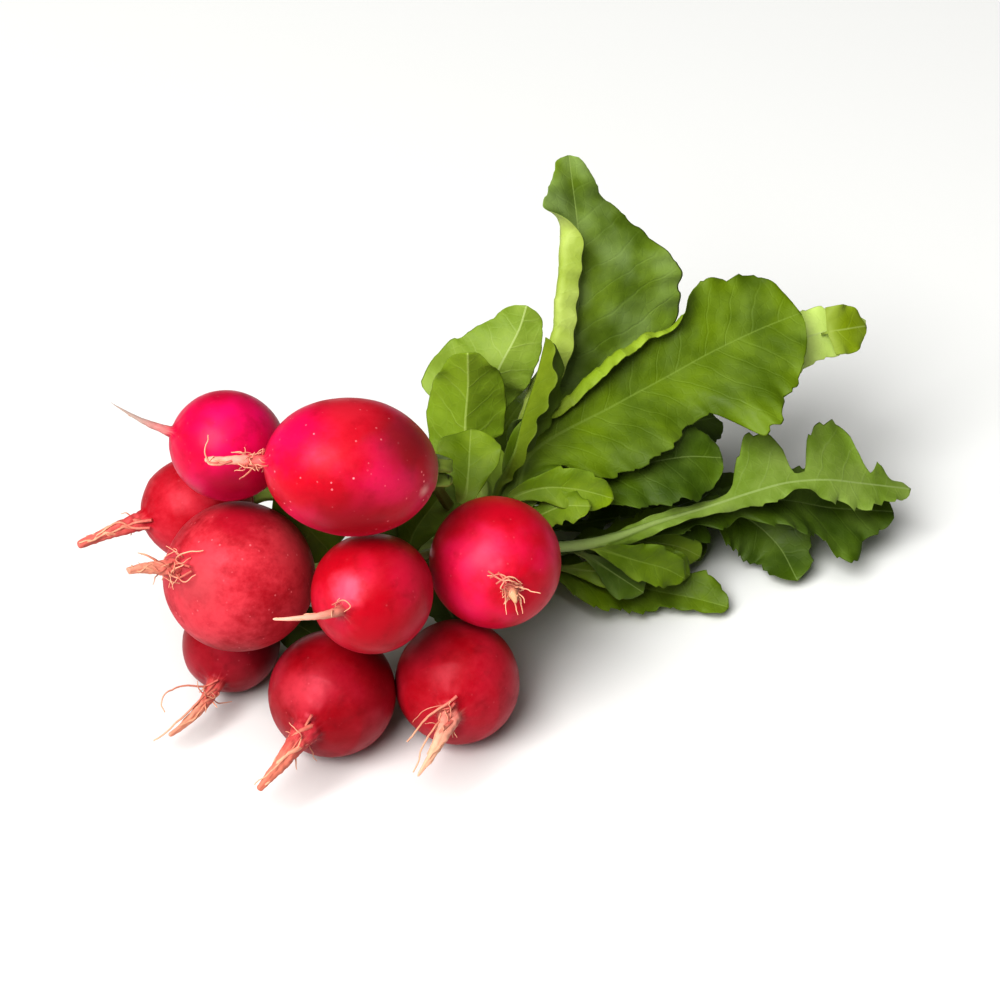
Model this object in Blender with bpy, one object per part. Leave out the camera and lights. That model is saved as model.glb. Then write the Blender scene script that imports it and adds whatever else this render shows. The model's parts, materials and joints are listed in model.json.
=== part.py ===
"""Bunch of nine radishes lying on a surface: roots, leaves and the band that ties them.

Frame: +Z up, +X along the tied stems from the roots towards the leaf tips, +Y to the left of
that. The origin is on the surface, under the middle of the bunch. Sizes in the tables are
millimetres, measured from a point under the tie; the finished meshes are metres.
"""

import math
from dataclasses import dataclass

import bmesh
import bpy
import numpy as np
from mathutils import Vector

MM = 0.001
UP = np.array([0.0, 0.0, 1.0])
ALONG = np.array([1.0, 0.0, 0.0])

# Where the middle of the bunch lies in the tables.
CENTRE_X = 5.9
CENTRE_Y = 6.6

# The tie: an elastic band round the stems, and the stems' places inside it.
NECK = np.array([-5.8, 0.7, 25.0])
STEM_PITCH = 4.1
STEM_ROW_PITCH = 3.6
STEM_RADIUS = 1.55
STEM_RISE = 5.0
BAND_INNER_RADIUS = 10.4
BAND_THICKNESS = 1.3
BAND_WIDTH = 5.0
BAND_TAPER = 0.8
BAND_SIDES = 28
NECK_HALF_LENGTH = 4.2
NECK_STRAIGHT_SHARE = 0.6

# How each root is drawn.
ROOT_SIDES = 18
BODY_RINGS = 11
TAP_RINGS = 5
FIRST_RING_ANGLE = 18.0
LAST_RING_ANGLE = 168.0
CROWN_RADIUS = 4.2
CROWN_GAP = 0.35
STEM_FOOT_PITCH = 1.9
TAP_STARTS = 0.9
TAP_TIP_SHARE = 0.35
TAP_SHOULDER = 1.4
TAP_SHOULDER_STARTS = 0.7
TAP_SHOULDER_LENGTH = 0.22
TAP_BLEND = 2.4
ROOTLET_SIDES = 4
ROOTLET_RADII = (0.5, 0.48, 0.42, 0.35)
ROOTLET_LENGTHS = (4.5, 9.0)

# How each leaf is drawn.
BLADE_HALF_THICKNESS = 0.4
RIB_TIP_RADIUS = 0.45
RIB_UPPER_SHARE = 0.35
TIP_HALF_WIDTH = 0.7
STEM_STATION_STEP = 9.0
POINTS_PER_SPAN = 24
VEIN_SWEEP = 0.35
ROLL_FADE = 0.12
NOTCH_FADE = 0.2
FOLD_STARTS = 0.4
FOLD_LENGTH = 0.35
ARC_STEPS = 8


@dataclass(frozen=True)
class Root:
    """One radish root.

    centre: middle of the swollen body. heading, pitch: where the taproot points, in degrees.
    half_length, half_width: the body's half sizes. tap: length of the taproot past the body.
    tap_radius: its radius where it leaves the body. bend: degrees the taproot turns, towards
    bend_to. rootlets: how many grow at its foot. rests: whether the root lies on the surface.
    """

    name: str
    centre: tuple
    heading: float
    pitch: float
    half_length: float
    half_width: float
    tap: float
    tap_radius: float
    bend: float
    bend_to: tuple
    rootlets: int
    rests: bool = False


@dataclass(frozen=True)
class Leaf:
    """One leaf with its stem.

    root: the radish it grows from, and foot its place on that crown. slot: row and place in the
    tie. route: the midrib's points from the foot of the blade to its tip. faces: where the upper
    surface looks at the foot and at the tip. outline: share of the way along the blade, then the
    half-widths on the left and on the right. cup: degrees both halves rise from the midrib.
    roll: further degrees that the left and right margins turn over. roll_span: where along the
    blade they do. ruffle: height, number and phase of the margin's waves. teeth: how many notches
    a plain margin has, and how deep. columns: cross-section points per quarter. rise: how far the
    stem runs straight out of the crown. via: points it passes between there and the tie.
    """

    name: str
    root: str
    foot: tuple
    slot: tuple
    route: tuple
    faces: tuple
    outline: tuple
    cup: float = 12.0
    roll: tuple = (0.0, 0.0)
    roll_span: tuple = (0.0, 1.0)
    ruffle: tuple = (1.0, 3.0, 0.0)
    teeth: tuple = (0, 0.0)
    columns: int = 2
    rise: float = STEM_RISE
    via: tuple = ()


DOWN = (0, 0, -1)
SKYWARD = (0, 0, 1)
BACKWARD = (-0.8, 0.6, 0)
SIDEWARD = (-0.4, 0.4, -0.8)

# name, centre, heading, pitch, half length, half width, tap, tap radius, bend, bend to, rootlets
ROOTS = (
    Root("radish_01", (-62.8, 16.3, 70.2), 150, 23, 12.7, 12.0, 15, 1.3, 25, SKYWARD, 0),
    Root("radish_02", (-49.5, -11.8, 75.0), 152, 12, 18.7, 14.7, 12, 1.7, 12, BACKWARD, 3),
    Root("radish_03", (-60.9, 35.6, 40.2), 171, 5, 12.9, 11.5, 16, 2.2, 15, DOWN, 1),
    Root("radish_04", (-67.6, 7.5, 41.2), 173, 31, 16.9, 16.6, 12, 1.7, 20, DOWN, 5),
    Root("radish_05", (-51.2, -20.5, 46.5), -154, 22, 14.2, 13.1, 16, 1.4, 75, BACKWARD, 1),
    Root("radish_06", (-19.3, -22.9, 40.7), -114, 16, 14.8, 14.8, 4, 1.8, 30, DOWN, 6),
    Root("radish_07", (-63.6, 20.3, 11.3), -141, -10, 12.1, 11.1, 18, 1.7, 35, BACKWARD, 4, True),
    Root("radish_08", (-56.6, -11.3, 14.1), -148, 6, 14.6, 13.7, 18, 2.6, 55, SIDEWARD, 2, True),
    Root("radish_09", (-32.0, -25.3, 13.8), -134, 10, 14.3, 13.8, 17, 2.2, 60, SIDEWARD, 4, True),
)

SPOON = (
    (0.0, 1.6, 1.6), (0.15, 4.0, 4.0), (0.35, 9.0, 9.0), (0.6, 13.0, 13.0),
    (0.8, 12.0, 12.0), (0.93, 7.5, 7.5), (1.0, 0.0, 0.0),
)
LYRE = (
    (0.0, 1.4, 1.4), (0.12, 4.0, 1.8), (0.18, 4.5, 4.5), (0.24, 1.8, 4.5), (0.31, 6.5, 1.8),
    (0.38, 7.0, 6.0), (0.44, 2.2, 7.0), (0.5, 6.0, 2.4), (0.62, 12.0, 10.0), (0.7, 10.5, 12.5),
    (0.82, 12.5, 11.5), (0.92, 8.0, 8.5), (1.0, 0.0, 0.0),
)

LEVEL = ((-0.1, -0.1, 1.0), (-0.1, -0.1, 1.0))
TOWARDS_FRONT = ((-0.25, -0.35, 0.9), (-0.25, -0.35, 0.9))
AWAY_FROM_FRONT = ((0.5, 0.6, -0.6), (0.5, 0.6, -0.6))

LEAVES = (
    Leaf(
        "leaf_tall", "radish_04", (0, 1), (1, 0),
        ((6, 8, 32), (27, 17, 42), (35, 17, 56), (43, 24, 72), (53, 41, 90)),
        ((0.0, -0.85, 0.5), (0.0, -0.85, 0.5)),
        (
            (0, 1.6, 1.6), (0.12, 6, 5), (0.3, 13, 12), (0.45, 14, 22), (0.55, 14, 28), (0.62, 14, 28),
            (0.7, 13, 24), (0.8, 10, 15), (0.92, 7, 7.5), (0.98, 5.5, 5.5), (1, 0, 0),
        ),
        roll=(155, 0), roll_span=(0.1, 0.78), teeth=(7, 0.7), columns=3,
    ),
    Leaf(
        "leaf_broad", "radish_02", (0, -1), (2, -1),
        ((4, -1, 36), (11, 3, 41), (36, 1, 46), (50, -1, 49), (62, -3, 52), (75, -6, 55), (86, -9, 57)),
        ((-0.35, -0.5, 0.8), (-0.3, -0.45, 0.85)),
        (
            (0, 1.6, 1.6), (0.1, 4, 2.5), (0.22, 9, 8), (0.34, 17, 16), (0.46, 20, 16), (0.52, 21, 13),
            (0.6, 20, 15), (0.67, 17, 26), (0.72, 16, 26), (0.77, 16, 22), (0.84, 15, 19),
            (0.92, 13, 14), (0.98, 9, 8), (1, 0, 0),
        ),
        roll=(155, -15), roll_span=(0.12, 0.68), teeth=(9, 0.7), columns=3, rise=3.0,
        via=((-26, -9.5, 58.5),),
    ),
    Leaf(
        "leaf_folded", "radish_02", (0, 1), (2, 0),
        ((1, 1, 38.5), (5, 1, 46), (11, 5, 52), (18, 9, 58), (24, 13, 64)),
        ((0.8, -0.6, 0.0), (0.8, -0.6, 0.0)),
        ((0, 1.6, 1.6), (0.2, 3, 4), (0.4, 5.5, 7), (0.7, 6, 8.5), (0.88, 4, 7), (1, 0, 0)),
        cup=50, teeth=(4, 0.5), rise=3.0, via=((-25, -5.5, 61.5),),
    ),
    Leaf(
        "leaf_hood", "radish_01", (0, 1), (2, 1),
        ((0.5, 7, 35), (-1, 11, 41), (1, 14.5, 48), (3, 16, 57), (3, 16, 67)),
        AWAY_FROM_FRONT,
        ((0, 1.6, 1.6), (0.2, 5, 5), (0.45, 9, 9), (0.65, 10.5, 10.5), (0.86, 8.5, 8.5), (1, 0, 0)),
        cup=25, ruffle=(0.5, 2, 0), teeth=(4, 0.3),
    ),
    Leaf(
        "leaf_left", "radish_01", (0, -1), (1, 1),
        ((4, 13, 34), (13, 22, 46), (16, 21, 54), (23, 22, 62), (26, 23, 67)),
        AWAY_FROM_FRONT,
        (
            (0, 1.6, 1.6), (0.25, 4, 6), (0.4, 6, 14), (0.55, 8, 13), (0.7, 8, 11),
            (0.88, 6, 7), (1, 0, 0),
        ),
        ruffle=(0.6, 3, 0), teeth=(5, 0.4),
    ),
    Leaf(
        "leaf_far", "radish_05", (1, 1), (1, -1),
        ((8, 1, 31), (35, 6, 36), (61, 1, 42), (78, -4, 46), (88, -8, 48), (97, -11, 49), (105, -13, 49)),
        ((-0.2, 0.2, 0.9), (0.2, 0.5, -0.8)),
        (
            (0, 1.6, 1.6), (0.3, 5, 5), (0.5, 8, 8), (0.7, 12, 9), (0.82, 7, 7), (0.9, 6.5, 7),
            (0.97, 5, 5), (1, 0, 0),
        ),
        teeth=(9, 0.5), rise=1.5, via=((-32.5, -9.5, 40),),
    ),
    Leaf(
        "leaf_small", "radish_06", (-1, 1), (1, -2),
        ((1, -6.2, 30.5), (5, -9, 33.5), (9, -12, 36), (14, -16.5, 36.5)),
        TOWARDS_FRONT,
        ((0, 1.6, 1.6), (0.3, 3, 3.5), (0.6, 3.5, 5), (0.85, 3, 4), (1, 0, 0)),
        ruffle=(0.5, 2, 0), teeth=(5, 0.6), rise=3.0, via=((-11, -8, 33),),
    ),
    Leaf(
        "leaf_lobed_high", "radish_06", (1, -1), (0, -2),
        (
            (17, -16, 24), (33, -20, 25), (46, -24, 26), (56, -27, 27), (65, -30, 27.5), (74, -34, 26.5),
            (83, -37, 23), (97, -41, 17),
        ),
        ((0.3, 0.4, -0.85), (0.3, 0.4, -0.85)),
        (
            (0, 1.3, 1.3), (0.12, 2.5, 2), (0.3, 2, 2), (0.4, 2.5, 2), (0.45, 3, 9), (0.5, 4, 15),
            (0.55, 3.5, 15.5), (0.585, 2.5, 11), (0.61, 2, 2.2), (0.64, 2.5, 3), (0.67, 4, 13),
            (0.72, 5, 18), (0.78, 6, 18), (0.82, 6, 13), (0.86, 5.5, 4), (0.9, 5, 6),
            (0.94, 3.5, 2.5), (1, 0, 0),
        ),
        rise=3.0, via=((-14.5, -8.5, 29),),
    ),
    Leaf(
        "leaf_under", "radish_05", (0.6, -0.9), (0, -1),
        ((6, -4, 27), (16, -5, 31), (32, -9, 34.5), (45, -14, 35), (54, -18, 33)),
        ((-0.3, -0.5, 0.8), (-0.3, -0.5, 0.8)),
        ((0, 1.4, 1.4), (0.25, 5, 5), (0.5, 9, 11), (0.75, 9, 12), (0.92, 6, 9), (1, 0, 0)),
        teeth=(6, 0.6), rise=1.5, via=((-32.5, -9.8, 36),),
    ),
    Leaf(
        "leaf_lobed_low", "radish_09", (-0.5, 1.1), (-1, -2),
        (
            (6, -8, 21), (21, -13, 20), (35, -17, 19.5), (52, -21.5, 19.5), (67, -25, 18), (80, -31, 13),
            (94, -39, 10),
        ),
        TOWARDS_FRONT,
        (
            (0, 1.3, 1.3), (0.3, 2, 2), (0.36, 4, 3.5), (0.42, 2, 2), (0.48, 4.5, 5), (0.54, 2.2, 2.5),
            (0.6, 5, 7), (0.68, 8, 10), (0.75, 8.5, 10), (0.8, 9, 14), (0.86, 8.5, 16),
            (0.9, 8, 10), (0.95, 6.5, 6), (1, 0, 0),
        ),
    ),
    Leaf(
        "leaf_oval", "radish_08", (0, 1), (-1, -1),
        (
            (6, -4, 20), (22.5, -10, 16.5), (38.5, -13, 16), (55, -14, 14.5), (62.5, -19, 11), (66, -27, 6),
            (63, -38, 3),
        ),
        ((-0.25, -0.35, 0.9), (-0.5, -0.6, 0.7)),
        (
            (0, 1.3, 1.3), (0.3, 1.8, 1.8), (0.42, 2, 2), (0.47, 3, 7), (0.53, 3, 8.5), (0.58, 2.5, 3),
            (0.64, 6, 9), (0.74, 9.5, 9.5), (0.84, 9.5, 8.5), (0.93, 6.5, 6), (1, 0, 0),
        ),
    ),
    Leaf(
        "leaf_short", "radish_08", (0, -1), (-2, 0),
        ((5, 0.5, 15.5), (16, -1, 13), (36, -9, 11), (44, -10, 9), (48.5, -14, 5), (49, -18, 3.5)),
        TOWARDS_FRONT,
        (
            (0, 1.3, 1.3), (0.3, 2, 2), (0.38, 4, 6), (0.46, 3, 3), (0.54, 7, 6), (0.62, 6, 4.5),
            (0.75, 7, 6), (0.92, 5, 5), (1, 0, 0),
        ),
    ),
    Leaf(
        "leaf_ground", "radish_09", (0.5, -1.1), (-2, -1),
        ((4, -4, 15), (12, -5, 12), (24, -13.5, 7), (31, -20, 4.5), (38, -28, 3.5), (43, -35, 2.7)),
        TOWARDS_FRONT,
        (
            (0, 1.3, 1.3), (0.14, 2, 3), (0.24, 4, 8), (0.32, 2.5, 9), (0.42, 6, 9), (0.5, 4, 8),
            (0.6, 7, 7), (0.7, 5.5, 5), (0.83, 7, 3.5), (0.93, 5, 3), (1, 0, 0),
        ),
        ruffle=(0.4, 3, 0),
    ),
    Leaf(
        "leaf_middle", "radish_04", (0, -1), (0, 0),
        ((6, 4, 26), (30, 4, 27), (56, 10, 24), (78, 10, 18)),
        TOWARDS_FRONT, SPOON, teeth=(8, 0.6),
    ),
    Leaf(
        "leaf_back_1", "radish_03", (-1, 0), (0, 1),
        ((6, 7.5, 26), (28, 16.7, 27), (55, 27, 23), (80, 36, 12)),
        TOWARDS_FRONT, SPOON, teeth=(8, 0.6),
    ),
    Leaf(
        "leaf_back_2", "radish_03", (1, 0), (0, 2),
        ((6, 16, 26), (20, 27, 27), (40, 41, 23), (56, 54, 11)),
        TOWARDS_FRONT, SPOON, teeth=(7, 0.6),
    ),
    Leaf(
        "leaf_back_3", "radish_07", (-1.3, 0.5), (-1, 0),
        ((14, 4, 16), (32, 3, 11), (56, -2, 6), (80, -6, 3.5)),
        LEVEL, LYRE, rise=2.5, via=((-34, 17, 17),),
    ),
    Leaf(
        "leaf_back_4", "radish_07", (1.3, 1), (-1, 1),
        ((5, 9, 20), (25, 18, 17), (48, 31, 11), (68, 42, 5)),
        LEVEL, SPOON, teeth=(7, 0.6), rise=2.5, via=((-32, 22, 18),),
    ),
    Leaf(
        "leaf_back_5", "radish_07", (0, -1), (-2, 1),
        ((4, 6, 15), (20, 13, 9), (40, 19, 4.5), (58, 22, 3)),
        LEVEL, LYRE, rise=2.5, via=((-33, 19, 12.5),),
    ),
)


def unit(vector):
    """The vector at length one."""
    vector = np.asarray(vector, float)
    return vector / np.linalg.norm(vector)


def direction(heading, pitch):
    """Unit vector for a heading about +Z and a pitch above the surface, in degrees."""
    turn, lift = math.radians(heading), math.radians(pitch)
    flat = math.cos(lift)
    return np.array([math.cos(turn) * flat, math.sin(turn) * flat, math.sin(lift)])


def square_to(vector, along):
    """The part of a vector that is square to a direction, at length one."""
    vector = np.asarray(vector, float)
    return unit(vector - along * (vector @ along))


def between(low, high, low_knot, high_knot, t):
    """Point on the line through two points, at knot t."""
    return low + (high - low) * (t - low_knot) / (high_knot - low_knot)


def smooth_path(points):
    """Dense points on a centripetal Catmull-Rom curve through the given points."""
    points = [np.asarray(p, float) for p in points]
    points = [2 * points[0] - points[1], *points, 2 * points[-1] - points[-2]]
    path = []
    for p0, p1, p2, p3 in zip(points, points[1:], points[2:], points[3:]):
        steps = [math.sqrt(np.linalg.norm(b - a)) for a, b in ((p0, p1), (p1, p2), (p2, p3))]
        k0, k1, k2, k3 = 0.0, steps[0], steps[0] + steps[1], sum(steps)
        for t in np.linspace(k1, k2, POINTS_PER_SPAN, endpoint=False):
            a1 = between(p0, p1, k0, k1, t)
            a2 = between(p1, p2, k1, k2, t)
            a3 = between(p2, p3, k2, k3, t)
            b1 = between(a1, a2, k0, k2, t)
            b2 = between(a2, a3, k1, k3, t)
            path.append(between(b1, b2, k1, k2, t))
    path.append(points[-2])
    return np.array(path)


def lengths_along(path):
    """Distance from the start to each point of a path."""
    return np.concatenate([[0.0], np.cumsum(np.linalg.norm(np.diff(path, axis=0), axis=1))])


def at_lengths(path, wanted):
    """Points and unit tangents of a path at the wanted distances."""
    run = lengths_along(path)
    slopes = np.gradient(path, run, axis=0)
    points = np.stack([np.interp(wanted, run, path[:, k]) for k in range(3)], 1)
    tangents = np.stack([np.interp(wanted, run, slopes[:, k]) for k in range(3)], 1)
    return points, tangents / np.linalg.norm(tangents, axis=1)[:, None]


def eased(xs, ys, x):
    """Smooth curve through a table of points that never overshoots them."""
    steps = np.diff(xs)
    slopes = np.diff(ys) / steps
    tangents = np.zeros_like(ys)
    same = slopes[:-1] * slopes[1:] > 0
    tangents[1:-1][same] = (2 * slopes[:-1] * slopes[1:])[same] / (slopes[:-1] + slopes[1:])[same]
    tangents[0], tangents[-1] = slopes[0], slopes[-1]
    i = int(np.clip(np.searchsorted(xs, x, side="right") - 1, 0, len(steps) - 1))
    h = steps[i]
    t = min(max((x - xs[i]) / h, 0.0), 1.0)
    low = ys[i] * (1 + 2 * t) * (1 - t) ** 2 + tangents[i] * h * t * (1 - t) ** 2
    high = ys[i + 1] * t * t * (3 - 2 * t) + tangents[i + 1] * h * t * t * (t - 1)
    return float(low + high)


def smooth_step(low, high, x):
    """Zero below low, one above high, and an even slope between."""
    t = min(max((x - low) / (high - low), 0.0), 1.0)
    return t * t * (3 - 2 * t)


def loft(rings, closed=False):
    """Mesh through rings of equal length, joined end to end or with both ends capped."""
    mesh = bmesh.new()
    rows = [[mesh.verts.new(Vector(p) * MM) for p in ring] for ring in rings]
    count = len(rows[0])
    following = rows[1:] + rows[:1] if closed else rows[1:]
    for low, high in zip(rows, following):
        for i in range(count):
            j = (i + 1) % count
            mesh.faces.new((low[i], low[j], high[j], high[i]))
    if not closed:
        mesh.faces.new(rows[0][::-1])
        mesh.faces.new(rows[-1])
    bmesh.ops.recalc_face_normals(mesh, faces=mesh.faces)
    bmesh.ops.triangulate(mesh, faces=mesh.faces)
    return mesh


def circle(point, tangent, side, radius, sides):
    """Points of a circle round a centreline."""
    side = square_to(side, tangent)
    across = np.cross(tangent, side)
    turns = [2 * math.pi * k / sides for k in range(sides)]
    return [point + radius * (math.cos(a) * side + math.sin(a) * across) for a in turns]


def object_from(mesh, name, material):
    """Scene object from a bmesh, moved so that the middle of the bunch is at the origin."""
    bmesh.ops.translate(mesh, verts=mesh.verts, vec=Vector((-CENTRE_X, -CENTRE_Y, 0.0)) * MM)
    data = bpy.data.meshes.new(name)
    mesh.to_mesh(data)
    mesh.free()
    data.materials.append(material)
    data.shade_smooth()
    obj = bpy.data.objects.new(name, data)
    bpy.context.scene.collection.objects.link(obj)
    return obj


def add_material(name, colour, roughness):
    """Plain Principled material."""
    made = bpy.data.materials.new(name)
    made.use_nodes = True
    shader = made.node_tree.nodes["Principled BSDF"]
    shader.inputs["Base Color"].default_value = (*colour, 1.0)
    shader.inputs["Roughness"].default_value = roughness
    return made


def root_axis(root, x):
    """Point and direction of a root's centreline at distance x from the middle of its body."""
    axis = direction(root.heading, root.pitch)
    centre = np.array(root.centre)
    straight = TAP_STARTS * root.half_length
    if x <= straight:
        return centre + axis * x, axis
    turn = square_to(root.bend_to, axis)
    reach = root.tap + root.half_length - straight
    bend = math.radians(root.bend)
    angle = bend * (x - straight) / reach
    arc = reach / bend
    point = centre + axis * (straight + arc * math.sin(angle)) + turn * arc * (1 - math.cos(angle))
    return point, axis * math.cos(angle) + turn * math.sin(angle)


def root_radius(root, x):
    """Radius of a root at distance x from the middle of its body."""
    share = x / root.half_length
    body = root.half_width * math.sqrt(max(1 - share * share, 0.0))
    if x <= 0:
        return max(body, CROWN_RADIUS)
    past = max(share - TAP_SHOULDER_STARTS, 0.0)
    shoulder = TAP_SHOULDER * root.tap_radius * math.exp(-past / TAP_SHOULDER_LENGTH)
    left = 1 - max(x - root.half_length, 0.0) / root.tap
    tap = shoulder + root.tap_radius * (TAP_TIP_SHARE + (1 - TAP_TIP_SHARE) * left)
    return (body**TAP_BLEND + tap**TAP_BLEND) ** (1 / TAP_BLEND)


def root_mesh(root):
    """Body and taproot of one root, cut flat where it rests on the surface."""
    angles = np.radians(np.linspace(FIRST_RING_ANGLE, LAST_RING_ANGLE, BODY_RINGS))
    stations = list(-root.half_length * np.cos(angles))
    stations += list(root.half_length + np.linspace(0.02 * root.half_length, root.tap, TAP_RINGS))
    rings = []
    for x in stations:
        point, tangent = root_axis(root, x)
        rings.append(circle(point, tangent, UP, root_radius(root, x), ROOT_SIDES))
    mesh = loft(rings)
    if root.rests:
        parts = mesh.verts[:] + mesh.edges[:] + mesh.faces[:]
        cut = bmesh.ops.bisect_plane(mesh, geom=parts, plane_co=(0, 0, 0), plane_no=-UP, clear_outer=True)
        edges = [part for part in cut["geom_cut"] if isinstance(part, bmesh.types.BMEdge)]
        bmesh.ops.holes_fill(mesh, edges=edges)
        bmesh.ops.recalc_face_normals(mesh, faces=mesh.faces)
        bmesh.ops.triangulate(mesh, faces=mesh.faces)
    return mesh


def rootlet_meshes(root, seed):
    """Thin curling rootlets that leave the foot of the taproot."""
    random = np.random.default_rng(seed)
    for _ in range(root.rootlets):
        along = root.half_length + root.tap * random.uniform(0.05, 0.4)
        start, tangent = root_axis(root, along)
        side = square_to(random.normal(size=3) - 0.5 * UP, tangent)
        heading = unit(0.8 * side + 0.7 * tangent)
        curl = unit(random.normal(size=3) - 0.8 * UP)
        step = random.uniform(*ROOTLET_LENGTHS) / len(ROOTLET_RADII)
        point = start
        rings = []
        for radius in ROOTLET_RADII:
            rings.append(circle(point, heading, curl, radius, ROOTLET_SIDES))
            point = point + heading * step
            heading = unit(heading + 0.35 * curl)
        yield loft(rings)


def build_root(root, skin, seed):
    """One radish root with its rootlets grown on."""
    body = object_from(root_mesh(root), root.name, skin)
    for mesh in rootlet_meshes(root, seed):
        rootlet = object_from(mesh, "rootlet", skin)
        join = body.modifiers.new("join", "BOOLEAN")
        join.operation = "UNION"
        join.solver = "EXACT"
        join.object = rootlet
        grown = bpy.data.meshes.new_from_object(body.evaluated_get(bpy.context.evaluated_depsgraph_get()))
        body.modifiers.clear()
        body.data = grown
        bpy.data.objects.remove(rootlet)
    body.data.name = root.name


def crown_of(root):
    """Middle of a root's flat crown, the way its stems leave, and two directions across it."""
    out = -direction(root.heading, root.pitch)
    reach = root.half_length * math.cos(math.radians(FIRST_RING_ANGLE))
    lift = square_to(UP, out)
    return np.array(root.centre) + out * reach, out, lift, np.cross(lift, out)


def stem_slot(slot):
    """Middle of a stem's place in the tie: rows stand one above another, places run along +Y."""
    row, place = slot
    shift = 0.5 if row % 2 else 0.0
    return NECK + np.array([0.0, (place + shift) * STEM_PITCH, row * STEM_ROW_PITCH])


def leaf_path(leaf):
    """The leaf's whole centreline, and the distances along it of the points that its stem passes."""
    root = next(r for r in ROOTS if r.name == leaf.root)
    crown, out, lift, across = crown_of(root)
    foot = crown + out * CROWN_GAP + (lift * leaf.foot[1] + across * leaf.foot[0]) * STEM_FOOT_PITCH
    slot = stem_slot(leaf.slot)
    half = ALONG * NECK_HALF_LENGTH
    tied = [slot + half * share for share in (-1, -NECK_STRAIGHT_SHARE, NECK_STRAIGHT_SHARE, 1)]
    stem = [foot, foot + out * leaf.rise, *leaf.via, *tied]
    path = smooth_path([*stem, *leaf.route])
    knots = lengths_along(path)[::POINTS_PER_SPAN]
    return path, knots[: len(stem) + 1]


def arc_point(width, share, bend):
    """Across and up reached by a strip that turns by bend(share) as it runs outwards."""
    x = z = 0.0
    for step in range(ARC_STEPS):
        theta = bend((step + 0.5) / ARC_STEPS * share)
        x += math.cos(theta) * width * share / ARC_STEPS
        z += math.sin(theta) * width * share / ARC_STEPS
    return x, z


def leaf_section(leaf, t, half_widths, rib):
    """One cross-section as (across, up) pairs round the ring, at share t of the blade."""
    low, high = leaf.roll_span
    rolled = smooth_step(low, low + ROLL_FADE, t) * (1 - smooth_step(high - ROLL_FADE, high, t))
    height, waves, phase = leaf.ruffle
    count = 4 * leaf.columns
    ring = []
    for k in range(count):
        turn = 2 * math.pi * k / count
        out, lift = math.cos(turn), math.sin(turn)
        right = out >= 0
        width = max(half_widths[right], rib)
        thin = min(max((width - rib) / rib, 0.0), 1.0)
        share = abs(out)

        def bend(u):
            fold = leaf.roll[right] * rolled * smooth_step(FOLD_STARTS, FOLD_STARTS + FOLD_LENGTH, u)
            return math.radians(leaf.cup + fold) * thin

        x, z = arc_point(width, share, bend)
        theta = bend(share)
        thick = BLADE_HALF_THICKNESS
        if k == count // 4:
            thick = max(thick, RIB_UPPER_SHARE * rib)
        if k == 3 * count // 4:
            thick = max(thick, rib)
        up = math.copysign((1 - thin) * rib * abs(lift) + thin * thick, lift)
        if k % (count // 2) == 0:
            up = 0.0
        wave = height * thin * share**2 * math.sin(2 * math.pi * (waves * t + phase) + right)
        side = 1.0 if right else -1.0
        ring.append((side * (x - math.sin(theta) * up), z + math.cos(theta) * up + wave))
    return ring


def blade_shares(leaf):
    """Shares of the blade's length where its cross-sections stand, and how deep each is notched."""
    count, depth = leaf.teeth
    if count:
        shares = list(np.arange(2 * count) / (2 * count)) + [0.985, 1.0]
        notches = [depth * (-1) ** k for k in range(2 * count)] + [0.0, 0.0]
        return shares, notches
    table = [row[0] for row in leaf.outline]
    middles = [(low + high) / 2 for low, high in zip(table, table[1:])]
    shares = sorted(table[:-1] + middles) + [1.0]
    return shares, [0.0] * len(shares)


def leaf_rings(leaf):
    """Rings of one leaf from the foot of its stem to the tip of its blade."""
    path, knots = leaf_path(leaf)
    blade_start = knots[-1]
    blade = lengths_along(path)[-1] - blade_start
    table = np.array(leaf.outline, float)
    stations = []
    for low, high in zip(knots, knots[1:]):
        steps = max(1, round((high - low) / STEM_STATION_STEP))
        stations += list(np.linspace(low, high, steps, endpoint=False))
    shares, notches = blade_shares(leaf)
    notches = [0.0] * len(stations) + notches
    stations = np.array(stations + [blade_start + share * blade for share in shares])
    points, tangents = at_lengths(path, stations)
    rings = []
    for station, notch, point, tangent in zip(stations, notches, points, tangents):
        t = max((station - blade_start) / blade, 0.0)
        facing = np.array(leaf.faces[0]) * (1 - t) + np.array(leaf.faces[1]) * t
        facing = square_to(facing, tangent)
        right = np.cross(tangent, facing)
        half_widths = (0.0, 0.0)
        if station >= blade_start:
            least = TIP_HALF_WIDTH * (1 - 0.4 * t)
            notch *= smooth_step(0.0, NOTCH_FADE, t)
            half_widths = tuple(max(eased(table[:, 0], table[:, k], t) + notch, least) for k in (1, 2))
        rib = STEM_RADIUS + (RIB_TIP_RADIUS - STEM_RADIUS) * t**0.7
        sweep = VEIN_SWEEP * (1 - t) if station > blade_start else 0.0
        section = leaf_section(leaf, t, half_widths, rib)
        rings.append([point + right * x + facing * z + tangent * sweep * abs(x) for x, z in section])
    return rings


def band_rings():
    """Cross-sections of the elastic band round the stems."""
    half = ALONG * BAND_WIDTH / 2
    for k in range(BAND_SIDES):
        turn = 2 * math.pi * k / BAND_SIDES
        out = np.array([0.0, math.cos(turn), math.sin(turn)])
        inner = NECK + out * BAND_INNER_RADIUS
        outer = NECK + out * (BAND_INNER_RADIUS + BAND_THICKNESS)
        yield [inner - half, inner + half, outer + half * BAND_TAPER, outer - half * BAND_TAPER]


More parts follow.
